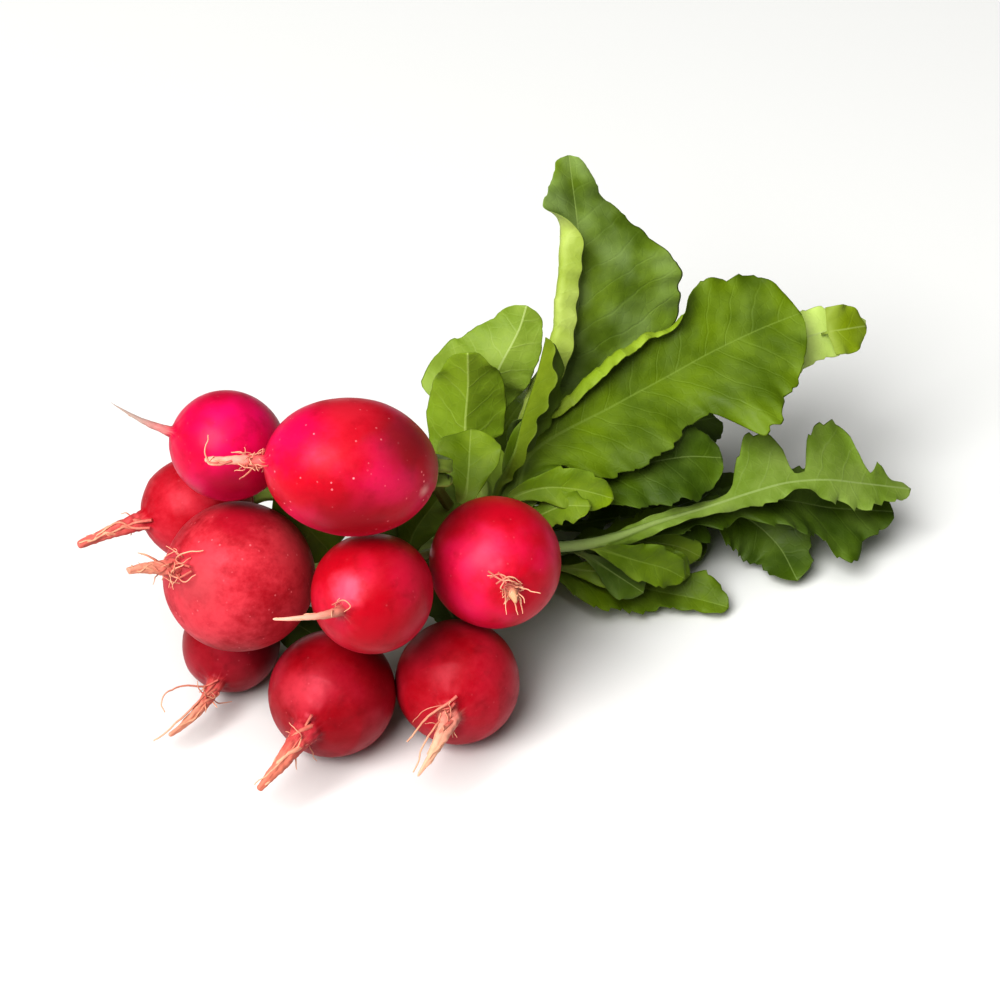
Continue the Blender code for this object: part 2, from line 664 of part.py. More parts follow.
def main():
    """Clears the scene and builds the bunch."""
    for obj in list(bpy.data.objects):
        bpy.data.objects.remove(obj)
    skin = add_material("radish_skin", (0.62, 0.02, 0.06), 0.35)
    green = add_material("leaf_green", (0.12, 0.22, 0.02), 0.5)
    rubber = add_material("band_rubber", (0.55, 0.42, 0.25), 0.6)
    for seed, root in enumerate(ROOTS):
        build_root(root, skin, seed)
    for leaf in LEAVES:
        object_from(loft(leaf_rings(leaf)), leaf.name, green)
    object_from(loft(list(band_rings()), closed=True), "band", rubber)


main()
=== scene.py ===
"""The looks of a bunch of nine radishes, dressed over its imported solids.

Sizes in the tables are millimetres from a point under the tie, as in the part's own source. Each
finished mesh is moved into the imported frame, in metres, and stands for the node it is named after.
"""

import json
import logging
import math
from dataclasses import dataclass, replace
from enum import Enum

import bpy
import numpy as np
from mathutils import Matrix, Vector, noise

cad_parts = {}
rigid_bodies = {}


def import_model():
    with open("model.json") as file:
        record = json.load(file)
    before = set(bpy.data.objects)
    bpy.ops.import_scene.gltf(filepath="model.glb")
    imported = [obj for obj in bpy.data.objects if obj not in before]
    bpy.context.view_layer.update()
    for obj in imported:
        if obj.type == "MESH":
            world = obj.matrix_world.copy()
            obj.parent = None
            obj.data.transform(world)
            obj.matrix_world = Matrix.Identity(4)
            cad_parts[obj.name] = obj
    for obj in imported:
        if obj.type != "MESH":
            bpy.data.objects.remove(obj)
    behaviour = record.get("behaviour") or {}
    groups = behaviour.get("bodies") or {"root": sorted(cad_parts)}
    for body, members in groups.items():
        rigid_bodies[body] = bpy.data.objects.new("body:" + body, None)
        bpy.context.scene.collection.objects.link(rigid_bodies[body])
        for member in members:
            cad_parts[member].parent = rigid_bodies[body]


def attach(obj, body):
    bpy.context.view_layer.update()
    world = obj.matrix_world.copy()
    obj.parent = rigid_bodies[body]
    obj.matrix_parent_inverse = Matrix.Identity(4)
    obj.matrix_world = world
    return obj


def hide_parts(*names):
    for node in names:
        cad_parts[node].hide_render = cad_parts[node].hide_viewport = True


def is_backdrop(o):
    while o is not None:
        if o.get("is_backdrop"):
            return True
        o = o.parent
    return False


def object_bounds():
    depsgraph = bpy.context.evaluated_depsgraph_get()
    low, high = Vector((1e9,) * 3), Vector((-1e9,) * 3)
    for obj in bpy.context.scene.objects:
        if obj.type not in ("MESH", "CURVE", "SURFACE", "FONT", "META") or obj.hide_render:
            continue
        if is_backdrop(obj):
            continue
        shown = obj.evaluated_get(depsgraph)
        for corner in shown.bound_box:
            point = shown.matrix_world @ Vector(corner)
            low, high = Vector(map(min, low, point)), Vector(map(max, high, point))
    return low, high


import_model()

LOG = logging.getLogger("bunch")
MM = 0.001
UP = np.array([0.0, 0.0, 1.0])
ALONG = np.array([1.0, 0.0, 0.0])

# Side veins: how far apart they are, how far they lean to the tip for each millimetre outwards, and
# how much of a pitch the right side is ahead of the left.
VEIN_PITCH = 7.0
VEIN_LEAN = 0.6
VEIN_SHIFT = 0.45

# Where the middle of the bunch lies in the tables.
CENTRE = np.array([5.9, 6.6, 0.0])

# The tie, and the stems' places inside it.
NECK = np.array([-5.8, 0.7, 25.0])
STEM_PITCH = 4.1
STEM_ROW_PITCH = 3.6
NECK_HALF_LENGTH = 4.2
NECK_STRAIGHT_SHARE = 0.6

# Where the photograph was taken from: the point it looks at, its line of sight, and how much a
# pixel of it spans there, in millimetres.
AIM = np.array([0.0, 0.0, 35.0])
LOOK = np.array([0.485, 0.621, -0.616]) / math.sqrt(0.485**2 + 0.621**2 + 0.616**2)
DISTANCE = 600.0
EYE = AIM - LOOK * DISTANCE
PICTURE_RIGHT = np.array([0.788, -0.616, 0.0])
PICTURE_UP = np.cross(PICTURE_RIGHT, LOOK)
PIXEL = 0.235
PICTURE_MIDDLE = 500.0

Triple = tuple[float, float, float]
Pixels = tuple[tuple[float, float], ...]
Array = np.ndarray
Socket = bpy.types.NodeSocket


# Vectors and curves

def unit(vector: Array) -> Array:
    """The vector at length one."""
    vector = np.asarray(vector, float)
    return vector / np.linalg.norm(vector, axis=-1, keepdims=True)


def direction(heading: float, pitch: float) -> Array:
    """Unit vector for a heading and a pitch.

    Args:
        heading: degrees about +Z, from +X.
        pitch: degrees above the surface.

    Returns:
        The vector.
    """
    turn, lift = math.radians(heading), math.radians(pitch)
    flat = math.cos(lift)
    return np.array([math.cos(turn) * flat, math.sin(turn) * flat, math.sin(lift)])


def square_to(vector: Array, along: Array) -> Array:
    """The parts of vectors that are square to directions, at length one."""
    vector = np.asarray(vector, float)
    return unit(vector - along * np.sum(vector * along, axis=-1, keepdims=True))


def smooth_step(low: float, high: float, x: Array) -> Array:
    """Zero below low, one above high, and an even slope between."""
    t = np.clip((x - low) / (high - low), 0.0, 1.0)
    return t * t * (3 - 2 * t)


def between(low: Array, high: Array, low_knot: float, high_knot: float, t: float) -> Array:
    """Point on the line through two points, at knot t."""
    return low + (high - low) * (t - low_knot) / (high_knot - low_knot)


def smooth_path(points: list[Array], per_span: int) -> Array:
    """Dense points on a centripetal Catmull-Rom curve.

    Args:
        points: the points that the curve passes.
        per_span: how many points it gets between two of them.

    Returns:
        The curve's points, in order.
    """
    points = [np.asarray(p, float) for p in points]
    points = [2 * points[0] - points[1], *points, 2 * points[-1] - points[-2]]
    path = []
    for p0, p1, p2, p3 in zip(points, points[1:], points[2:], points[3:]):
        steps = [math.sqrt(np.linalg.norm(b - a)) for a, b in ((p0, p1), (p1, p2), (p2, p3))]
        k0, k1, k2, k3 = 0.0, steps[0], steps[0] + steps[1], sum(steps)
        for t in np.linspace(k1, k2, per_span, endpoint=False):
            a1 = between(p0, p1, k0, k1, t)
            a2 = between(p1, p2, k1, k2, t)
            a3 = between(p2, p3, k2, k3, t)
            b1 = between(a1, a2, k0, k2, t)
            b2 = between(a2, a3, k1, k3, t)
            path.append(between(b1, b2, k1, k2, t))
    path.append(points[-2])
    return np.array(path)


def lengths_along(path: Array) -> Array:
    """Distance from the start to each point of a path."""
    return np.concatenate([[0.0], np.cumsum(np.linalg.norm(np.diff(path, axis=0), axis=1))])


def at_lengths(path: Array, wanted: Array) -> tuple[Array, Array]:
    """Reads a path at distances along it.

    Args:
        path: the path's points, in order.
        wanted: distances from its start.

    Returns:
        Its points and its unit tangents there.
    """
    run = lengths_along(path)
    slopes = np.gradient(path, run, axis=0)
    points = np.stack([np.interp(wanted, run, path[:, k]) for k in range(3)], 1)
    tangents = np.stack([np.interp(wanted, run, slopes[:, k]) for k in range(3)], 1)
    return points, unit(tangents)


def eased(xs: Array, ys: Array, wanted: Array) -> Array:
    """Smooth curve through a table of points that never overshoots them.

    Args:
        xs: the table's places, rising.
        ys: the table's heights.
        wanted: the places at which the curve is read.

    Returns:
        The curve's height at each wanted place.
    """
    steps = np.diff(xs)
    slopes = np.diff(ys) / steps
    tangents = np.zeros_like(ys)
    same = slopes[:-1] * slopes[1:] > 0
    tangents[1:-1][same] = (2 * slopes[:-1] * slopes[1:])[same] / (slopes[:-1] + slopes[1:])[same]
    tangents[0], tangents[-1] = slopes[0], slopes[-1]
    i = np.clip(np.searchsorted(xs, wanted, side="right") - 1, 0, len(steps) - 1)
    h = steps[i]
    t = np.clip((wanted - xs[i]) / h, 0.0, 1.0)
    low = ys[i] * (1 + 2 * t) * (1 - t) ** 2 + tangents[i] * h * t * (1 - t) ** 2
    return low + ys[i + 1] * t * t * (3 - 2 * t) + tangents[i + 1] * h * t * t * (t - 1)


def ripple(points: Array, size: float, seed: float = 0.0) -> Array:
    """Smooth noise, from about -1 to 1.

    Args:
        points: where the noise is read.
        size: how wide its lumps are.
        seed: which pattern of lumps is used.

    Returns:
        The noise at each point.
    """
    shift = Vector((seed * 7.3, seed * 3.1, seed * 5.7))
    flat = points.reshape(-1, 3) / size
    values = [noise.noise(Vector(p) + shift) for p in flat]
    return np.array(values).reshape(points.shape[:-1])


# Meshes

@dataclass
class Skin:
    """Rings of points that a closed surface passes, and what its material reads at each point."""

    points: Array
    traits: dict[str, Array]

    def to_object(self, name: str, box: tuple[Array, Array]) -> bpy.types.Object:
        """Joins the rings into one closed mesh.

        Args:
            name: the piece's name.
            box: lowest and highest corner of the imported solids, which the piece stays inside.

        Returns:
            The finished piece, with its place in its mesh.
        """
        rows, count = self.points.shape[:2]
        spots = np.clip((self.points.reshape(-1, 3) - CENTRE) * MM, *box)
        row, column = np.meshgrid(np.arange(rows - 1), np.arange(count), indexing="ij")
        low = (row * count + column).ravel()
        low_next = (row * count + (column + 1) % count).ravel()
        faces = np.stack([low, low_next, low_next + count, low + count], 1).tolist()
        faces.append(list(range(count))[::-1])
        faces.append(list(range((rows - 1) * count, rows * count)))
        mesh = bpy.data.meshes.new(name)
        mesh.from_pydata(spots.tolist(), [], faces)
        if signed_volume(spots, faces) < 0:
            mesh.flip_normals()
        for trait, values in self.traits.items():
            made = mesh.attributes.new(trait, "FLOAT_VECTOR", "POINT")
            made.data.foreach_set("vector", values.reshape(-1).astype(np.float32))
        mesh.shade_smooth()
        mesh.update()
        piece = bpy.data.objects.new(name, mesh)
        bpy.context.scene.collection.objects.link(piece)
        return piece


def signed_volume(spots: Array, faces: list[list[int]]) -> float:
    """Six times the volume inside a closed surface's sides, as seen from the origin.

    Args:
        spots: the surface's points.
        faces: its faces, all quads but the two ends, which are left out.

    Returns:
        The volume, below zero where the faces point inwards.
    """
    quads = np.array(faces[:-2])
    a, b, c, d = (spots[quads[:, k]] for k in range(4))
    return float(np.sum(np.cross(b - a, c - a) * a + np.cross(c - a, d - a) * a))


def circles(points: Array, tangents: Array, radii: Array, sides: int) -> tuple[Array, Array]:
    """Rings round a centreline.

    Args:
        points: the centreline.
        tangents: its direction at each point.
        radii: the ring's radius at each point.
        sides: points in each ring.

    Returns:
        The rings' points, and their unit directions away from the centreline.
    """
    side = square_to(np.broadcast_to(UP, tangents.shape), tangents)
    across = np.cross(tangents, side)
    turn = 2 * math.pi * np.arange(sides) / sides
    out = np.cos(turn)[None, :, None] * side[:, None] + np.sin(turn)[None, :, None] * across[:, None]
    return points[:, None] + out * radii[:, None, None], out


# Nodes

# Kinds of node that many patterns share, and settings of theirs.
MATH = "ShaderNodeMath"
VECTOR_MATH = "ShaderNodeVectorMath"
MIX = "ShaderNodeMix"
MAP_RANGE = "ShaderNodeMapRange"
NOISE = "ShaderNodeTexNoise"
ATTRIBUTE = "ShaderNodeAttribute"
SPLIT = "ShaderNodeSeparateXYZ"
COORDINATE = "ShaderNodeTexCoord"
BUMP = "ShaderNodeBump"
TIMES = {"operation": "MULTIPLY"}
TIMES_PLUS = {"operation": "MULTIPLY_ADD"}
COLOURS = {"data_type": "RGBA"}
EASED = {"interpolation_type": "SMOOTHSTEP"}
SEEDED = {"noise_dimensions": "4D"}

# Places of a Mix node's colour inputs.
MIX_A = 6
MIX_B = 7


def add_node(tree: bpy.types.NodeTree, kind: str, settings: dict | None = None,
             inputs: dict | None = None) -> Socket:
    """Adds a node, with its settings, and links or sets its inputs.

    Args:
        tree: the node tree.
        kind: the node's type.
        settings: the node's own properties.
        inputs: value or socket for each input, by its name or place.

    Returns:
        The node's first output that is in use.
    """
    node = tree.nodes.new(kind)
    for name, value in (settings or {}).items():
        setattr(node, name, value)
    for name, value in (inputs or {}).items():
        if isinstance(value, bpy.types.NodeSocket):
            tree.links.new(value, node.inputs[name])
        else:
            node.inputs[name].default_value = value
    return next((socket for socket in node.outputs if socket.enabled), None)


def linear(colour: str) -> tuple[float, float, float, float]:
    """An sRGB hex colour as the linear colour that a shader reads."""
    parts = [int(colour[k : k + 2], 16) / 255 for k in (1, 3, 5)]
    return (*[p / 12.92 if p <= 0.04045 else ((p + 0.055) / 1.055) ** 2.4 for p in parts], 1.0)


@dataclass(frozen=True)
class Finish:
    """What every finish has: a name, and a material with one Principled shader."""

    name: str

    def material(self) -> bpy.types.Material:
        """The finish's material, made once.

        Returns:
            The material, new or as it was made before.
        """
        known = bpy.data.materials.get(self.name)
        if known:
            return known
        made = bpy.data.materials.new(self.name)
        made.use_nodes = True
        self.draw(made.node_tree, made.node_tree.nodes["Principled BSDF"])
        return made

    def draw(self, tree: bpy.types.NodeTree, shader: bpy.types.Node) -> None:
        """Adds the finish's pattern to the shader.

        Args:
            tree: the material's node tree.
            shader: its Principled shader.
        """
        raise NotImplementedError


@dataclass(frozen=True)
class RootSkin(Finish):
    """Washed radish skin: a thin, tight, waxy skin over wet flesh.

    It gives a broad soft shine, red that shifts to magenta in clouds, pale pores and scuffs, and given
    patches of painted highlight and painted shade. It fades through pink to the straw colour of the
    taproot.
    """

    red: str
    magenta: str
    deep: str
    dust: float
    specks: float
    tap_start: str
    tap_end: str
    seed: float
    marks_and_painted_light: tuple[tuple[Triple, float, str, float], ...] = ()

    BLOOM = "#cf4a55"
    PORE = "#f6a3a6"
    CROWN = "#b86a6c"
    COLLAR = "#a6ad62"

    def draw(self, tree: bpy.types.NodeTree, shader: bpy.types.Node) -> None:
        """Adds clouds, pores, crown and taproot colours, and a fine relief.

        Args:
            tree: the material's node tree.
            shader: its Principled shader.
        """
        spot = add_node(tree, COORDINATE).node.outputs["Object"]
        place = add_node(tree, ATTRIBUTE, {"attribute_name": "root_place"}).node.outputs["Vector"]
        share = add_node(tree, SPLIT, {}, {0: place})
        grain = add_node(tree, ATTRIBUTE, {"attribute_name": "root_grain"}).node.outputs["Vector"]

        # Clouds about 14 mm wide, broken ones of 4 mm inside them and flecks of 1.5 mm. Streaks
        # and fibres run from crown to tip, about 5 and 22 of them to a radian of the girth.
        clouds, mottle, flecks, streaks, fibres = (
            add_node(tree, NOISE, SEEDED, {"Vector": where, "W": self.seed + step, "Scale": scale,
                                           "Detail": detail, "Roughness": roughness})
            for where, step, scale, detail, roughness in (
                (spot, 0, 1 / (14 * MM), 2.0, 0.5), (spot, 3, 1 / (4 * MM), 3.0, 0.6),
                (spot, 6, 1 / (1.5 * MM), 3.0, 0.6), (grain, 0, 5.0, 4.0, 0.65), (grain, 9, 22.0, 3.0, 0.5),
            )
        )
        dust_bloom_and_painted_sheen = add_node(tree, MATH, TIMES_PLUS, {0: flecks, 1: 0.5, 2: clouds})
        dust_bloom_and_painted_sheen = add_node(tree, MATH, TIMES_PLUS, {0: streaks, 1: 0.3, 2: dust_bloom_and_painted_sheen})
        pores = add_node(tree, "ShaderNodeTexVoronoi", {}, {"Vector": spot, "Scale": 1 / (1.7 * MM)})
        ragged = add_node(tree, MATH, TIMES_PLUS, {0: streaks, 1: 0.22, 2: share})
        frayed = add_node(tree, MATH, TIMES_PLUS, {0: fibres, 1: 0.9, 2: share})

        # Where each layer begins and is full, and how much of it shows.
        cloud, dark, dusty, dots, crown, collar, blush, straw = (
            add_node(tree, MAP_RANGE, EASED,
                     {"Value": value, "From Min": begins, "From Max": full, "To Max": most})
            for value, begins, full, most in (
                (clouds, 0.42, 0.68, 1.0), (mottle, 0.48, 0.75, 0.45), (dust_bloom_and_painted_sheen, 0.7, 1.15, self.dust),
                (pores, 0.2, 0.06, 1.0), (ragged, -0.62, -0.92, 0.8), (share, -0.97, -1.02, 1.0),
                (ragged, 1.09, 1.25, 1.0), (frayed, 1.55, 2.1, 1.0),
            )
        )

        # Pores: pale dots about half a millimetre wide, drawn in scattered groups.
        chance = add_node(tree, MAP_RANGE, {}, {"Value": mottle, "From Min": 0.5, "From Max": 0.62})
        dots = add_node(tree, MATH, TIMES, {0: dots, 1: chance})
        dots = add_node(tree, MATH, TIMES, {0: dots, 1: self.specks})

        # Marks: patches, each with its place, size, colour and strength. Some are the skin's own scars,
        # dull patches and tone; the others are painted highlights, painted light on the tops and painted
        # shade on the lower fronts.
        marks_and_painted_light = []
        for place_mm, size, colour, strength in self.marks_and_painted_light:
            middle = tuple((np.array(place_mm) - CENTRE) * MM)
            away = add_node(tree, VECTOR_MATH, {"operation": "DISTANCE"}, {0: spot, 1: middle})
            away = away.node.outputs["Value"]
            torn = add_node(tree, MATH, TIMES_PLUS, {0: mottle, 1: 0.9 * size * MM, 2: away})
            mark_and_painted_light = add_node(tree, MAP_RANGE, EASED, {"Value": torn, "From Min": 1.5 * size * MM,
                                                     "From Max": 0.6 * size * MM, "To Max": strength})
            marks_and_painted_light.append((mark_and_painted_light, colour))

        # Dry bloom, pores, and the marks with their painted highlights and painted shade lie on the red.
        # The crown is paler and drier, and greenish where the leaf stems leave, and the taproot fades in
        # ragged streaks.
        colour = linear(self.red)
        for mask, over in ((cloud, self.magenta), (dark, self.deep), (dusty, self.BLOOM), (dots, self.PORE),
                           *marks_and_painted_light, (crown, self.CROWN), (collar, self.COLLAR), (blush, self.tap_start),
                           (straw, self.tap_end)):
            colour = add_node(tree, MIX, COLOURS, {0: mask, MIX_A: colour, MIX_B: linear(over)})
        tree.links.new(colour, shader.inputs["Base Color"])

        gloss = add_node(tree, MAP_RANGE, {}, {"Value": mottle, "From Min": 0.3, "From Max": 0.7,
                                               "To Min": 0.3 + 0.2 * self.dust,
                                               "To Max": 0.42 + 0.3 * self.dust})
        rough = add_node(tree, MIX, {"data_type": "FLOAT"}, {0: blush, 2: gloss, 3: 0.62})
        tree.links.new(rough, shader.inputs["Roughness"])
        shader.inputs["IOR"].default_value = 1.36
        shader.inputs["Specular Tint"].default_value = linear("#ffa6b4")
        shader.inputs["Coat Weight"].default_value = 0.04
        shader.inputs["Coat Roughness"].default_value = 0.3

        relief = add_node(tree, MATH, TIMES_PLUS, {0: flecks, 1: 0.5, 2: dots})
        bump = add_node(tree, BUMP, {}, {"Strength": 0.25, "Distance": 0.15 * MM, "Height": relief})
        tree.links.new(bump, shader.inputs["Normal"])


@dataclass(frozen=True)
class FibreSkin(Finish):
    """Dried rootlet: a thin woody thread, dull, pink at the root and straw at its end."""

    near: str = "#b85a52"
    far: str = "#d9a486"

    def draw(self, tree: bpy.types.NodeTree, shader: bpy.types.Node) -> None:
        """Adds the fade along the thread and its uneven colour.

        Args:
            tree: the material's node tree.
            shader: its Principled shader.
        """
        run = add_node(tree, ATTRIBUTE, {"attribute_name": "thread_run"})
        spot = add_node(tree, COORDINATE).node.outputs["Object"]
        # Stains about 1 mm long.
        stain = add_node(tree, NOISE, {}, {"Vector": spot, "Scale": 1 / (1 * MM)})
        fade = add_node(tree, MATH, TIMES_PLUS, {0: stain, 1: 0.5, 2: run.node.outputs["Fac"]})
        fade = add_node(tree, MAP_RANGE, {}, {"Value": fade, "From Min": 0.25, "From Max": 1.0})
        colour = add_node(tree, MIX, COLOURS,
                          {0: fade, MIX_A: linear(self.near), MIX_B: linear(self.far)})
        tree.links.new(colour, shader.inputs["Base Color"])
        shader.inputs["Roughness"].default_value = 0.6


@dataclass(frozen=True)
class LeafSkin(Finish):
    """Living radish leaf: thin and soft, with a faint waxy shine above.

    The upper side is deeper green in slow patches, with a painted grey-green sheen in other patches,
    and the underside is paler and dull. The midrib is pale, and the side veins are sunk above and
    raised below.
    """

    upper_deep: str
    upper_light: str
    under_deep: str
    under_light: str
    vein: str
    stem: str
    # How much painted sheen lies on the upper side, and the sheen's colour.
    dust_bloom_and_painted_sheen: float = 0.3
    sheen: str = "#7f9156"

    FOOT = "#8f9449"

    def draw(self, tree: bpy.types.NodeTree, shader: bpy.types.Node) -> None:
        """Adds patches, veins, the paler underside, the stem and a fine relief.

        Args:
            tree: the material's node tree.
            shader: its Principled shader.
        """
        spot = add_node(tree, ATTRIBUTE, {"attribute_name": "leaf_place"}).node.outputs["Vector"]
        across = add_node(tree, SPLIT, {}, {0: spot})
        along, upper = across.node.outputs["Y"], across.node.outputs["Z"]
        growth = add_node(tree, ATTRIBUTE, {"attribute_name": "leaf_growth"}).node.outputs["Vector"]
        rib = add_node(tree, SPLIT, {}, {0: growth})
        from_foot, from_margin = rib.node.outputs["Y"], rib.node.outputs["Z"]
        away = add_node(tree, MATH, {"operation": "ABSOLUTE"}, {0: across})

        # The veins wander in waves about 11 mm long. Slow patches are about 18 mm wide, and there
        # is a fine unevenness of 3 mm.
        wander, patches, fine = (
            add_node(tree, NOISE, {}, {"Vector": spot, "Scale": 1 / width, "Detail": detail})
            for width, detail in ((11, 2.0), (18, 1.5), (3, 3.0))
        )

        # Side veins leave the midrib, lean towards the tip and wander by up to 6 mm.
        lean = add_node(tree, MATH, TIMES_PLUS, {0: away, 1: -VEIN_LEAN, 2: along})
        lean = add_node(tree, MATH, TIMES_PLUS, {0: wander, 1: 6.0, 2: lean})
        side = add_node(tree, MATH, {"operation": "GREATER_THAN"}, {0: across, 1: 0.0})
        side = add_node(tree, MATH, TIMES, {0: side, 1: VEIN_SHIFT})
        phase = add_node(tree, MATH, TIMES_PLUS, {0: lean, 1: 1 / VEIN_PITCH, 2: side})
        off = add_node(tree, MATH, {"operation": "PINGPONG"}, {0: phase, 1: 0.5})
        # A net of fine veins with meshes about 2.5 mm wide.
        net = add_node(tree, "ShaderNodeTexVoronoi", {"feature": "DISTANCE_TO_EDGE"},
                       {"Vector": spot, "Scale": 1 / 2.5})
        tone = add_node(tree, MATH, TIMES_PLUS, {0: fine, 1: 0.25, 2: patches})
        in_ribs = add_node(tree, MATH, {"operation": "DIVIDE"}, {0: away, 1: rib})

        # Where each layer begins and is full, and how much of it shows.
        veins, net, tone, dust_bloom_and_painted_sheen, midrib, below_blade, foot = (
            add_node(tree, MAP_RANGE, EASED,
                     {"Value": value, "From Min": begins, "From Max": full, "To Max": most})
            for value, begins, full, most in (
                (off, 0.06, 0.0, 0.8), (net, 0.12, 0.0, 1.0), (tone, 0.45, 0.8, 1.0),
                (wander, 0.38, 0.74, self.dust_bloom_and_painted_sheen), (in_ribs, 1.0, 0.5, 0.7), (along, 4.0, -8.0, 1.0),
                (from_foot, 6.0, 0.5, 0.35),
            )
        )
        # The side veins thin out towards the margin.
        thin_out = add_node(tree, MAP_RANGE, {}, {"Value": from_margin, "From Max": 6.0, "To Min": 0.2})
        veins = add_node(tree, MATH, TIMES, {0: veins, 1: thin_out})

        # A painted grey-green sheen lies in patches on the upper side. The underside shows its veins
        # and the net more.
        top_vein = add_node(tree, MATH, TIMES, {0: veins, 1: 0.11})
        below_vein = add_node(tree, MATH, TIMES_PLUS, {0: net, 1: 0.15, 2: veins})
        below_vein = add_node(tree, MATH, TIMES, {0: below_vein, 1: 0.26})
        above = ((tone, self.upper_light), (dust_bloom_and_painted_sheen, self.sheen), (top_vein, self.vein))
        under = ((tone, self.under_light), (below_vein, self.stem))
        sides = []
        for ground, layers in ((self.upper_deep, above), (self.under_deep, under)):
            colour = linear(ground)
            for mask, over in layers:
                colour = add_node(tree, MIX, COLOURS, {0: mask, MIX_A: colour, MIX_B: linear(over)})
            sides.append(colour)
        top, below = sides
        blade = add_node(tree, MIX, COLOURS, {0: upper, MIX_A: below, MIX_B: top})

        # The midrib stands out less above than below. It runs on into the stem.
        seen = add_node(tree, MAP_RANGE, {}, {"Value": upper, "To Min": 1.0, "To Max": 0.5})
        midrib = add_node(tree, MATH, TIMES, {0: midrib, 1: seen})
        in_stem = add_node(tree, MATH, {"operation": "MAXIMUM"}, {0: midrib, 1: below_blade})
        stem = add_node(tree, MIX, COLOURS, {0: foot, MIX_A: linear(self.stem), MIX_B: linear(self.FOOT)})
        colour = add_node(tree, MIX, COLOURS, {0: in_stem, MIX_A: blade, MIX_B: stem})
        tree.links.new(colour, shader.inputs["Base Color"])
        rough = add_node(tree, MAP_RANGE, {}, {"Value": fine, "From Min": 0.3, "From Max": 0.7,
                                               "To Min": 0.42, "To Max": 0.58})
        tree.links.new(rough, shader.inputs["Roughness"])
        shader.inputs["IOR"].default_value = 1.25

        # Veins are sunk above and stand out below.
        sense = add_node(tree, MATH, TIMES_PLUS, {0: upper, 1: -2.0, 2: 1.0})
        relief = add_node(tree, MATH, TIMES_PLUS, {0: net, 1: 0.35, 2: veins})
        relief = add_node(tree, MATH, TIMES, {0: relief, 1: sense})
        relief = add_node(tree, MATH, TIMES_PLUS, {0: fine, 1: 0.8, 2: relief})
        bump = add_node(tree, BUMP, {}, {"Strength": 0.28, "Distance": 0.25 * MM, "Height": relief})
        tree.links.new(bump, shader.inputs["Normal"])


@dataclass(frozen=True)
class TieRubber(Finish):
    """Natural rubber band, cut from a moulded tube: dull, tan and slightly dusty."""

    colour: str = "#b9935f"
    dust: str = "#cdb086"

    def draw(self, tree: bpy.types.NodeTree, shader: bpy.types.Node) -> None:
        """Adds dust in patches 2 mm wide and a fine grain.

        Args:
            tree: the material's node tree.
            shader: its Principled shader.
        """
        spot = add_node(tree, COORDINATE).node.outputs["Object"]
        patches = add_node(tree, NOISE, {}, {"Vector": spot, "Scale": 1 / (2 * MM), "Detail": 4.0})
        mask = add_node(tree, MAP_RANGE, {}, {"Value": patches, "From Min": 0.4, "From Max": 0.7})
        colour = add_node(tree, MIX, COLOURS,
                          {0: mask, MIX_A: linear(self.colour), MIX_B: linear(self.dust)})
        tree.links.new(colour, shader.inputs["Base Color"])
        rough = add_node(tree, MAP_RANGE, {}, {"Value": mask, "To Min": 0.5, "To Max": 0.7})
        tree.links.new(rough, shader.inputs["Roughness"])
        bump = add_node(tree, BUMP, {}, {"Strength": 0.3, "Distance": 0.1 * MM, "Height": patches})
        tree.links.new(bump, shader.inputs["Normal"])


@dataclass(frozen=True)
class PaleBoard(Finish):
    """Matt white board: an even pale floor that holds soft shadows."""

    colour: str = "#d5d5d3"

    def draw(self, tree: bpy.types.NodeTree, shader: bpy.types.Node) -> None:
        """Sets the plain colour.

        Args:
            tree: the material's node tree; not used here.
            shader: its Principled shader.
        """
        shader.inputs["Base Color"].default_value = linear(self.colour)
        shader.inputs["Roughness"].default_value = 0.9
        shader.inputs["Specular IOR Level"].default_value = 0.1


class Shade(Enum):
    """How a leaf is coloured, from its age and its place in the bunch; the dark copy is painted shade,
    and the far leaf's underside is partly painted light.
    """

    TALL = LeafSkin("leaf_tall_green", "#4e6216", "#708626", "#90a044", "#a6b464", "#8da062",
                    "#a3b56c", dust_bloom_and_painted_sheen=0.45, sheen="#93a672")
    BROAD = LeafSkin("leaf_broad_green", "#4a5e07", "#647909", "#7c9122", "#8fa238", "#7c913c",
                     "#7d9040", dust_bloom_and_painted_sheen=0.15)
    YOUNG = LeafSkin("leaf_young_green", "#5d740b", "#7d9213", "#69801a", "#7d9327", "#90a344",
                     "#9fb061")
    FOLDED = LeafSkin("leaf_folded_green", "#3f5210", "#586c10", "#5c6c14", "#72821e", "#6f8333",
                      "#687c2e")
    GREY = LeafSkin("leaf_grey_green", "#48600f", "#607818", "#667c28", "#7d9046", "#8c9c5c",
                    "#8c9c62")
    PALE = LeafSkin("leaf_pale_green", "#5d7a05", "#769309", "#6f8526", "#879a42", "#95a84c",
                    "#a5b374")
    # The far leaf's pale underside, made lighter to make up for the broad leaf's shadow over it: the leaf's
    # own pale green and painted light.
    FAR = LeafSkin("leaf_far_green", "#73840a", "#819210", "#a9bc64", "#b5c674", "#a9bb6c",
                   "#adbc78")
    # A darker copy of the leaf greens for leaves that lie low in the bunch: painted shade.
    DARK_PAINTED_SHADE = LeafSkin("leaf_painted_shade_green", "#344807", "#4e640a", "#566c20", "#6c8034", "#6c8038",
                    "#86965a", dust_bloom_and_painted_sheen=0.2)


# Strands: one node tree sweeps them all

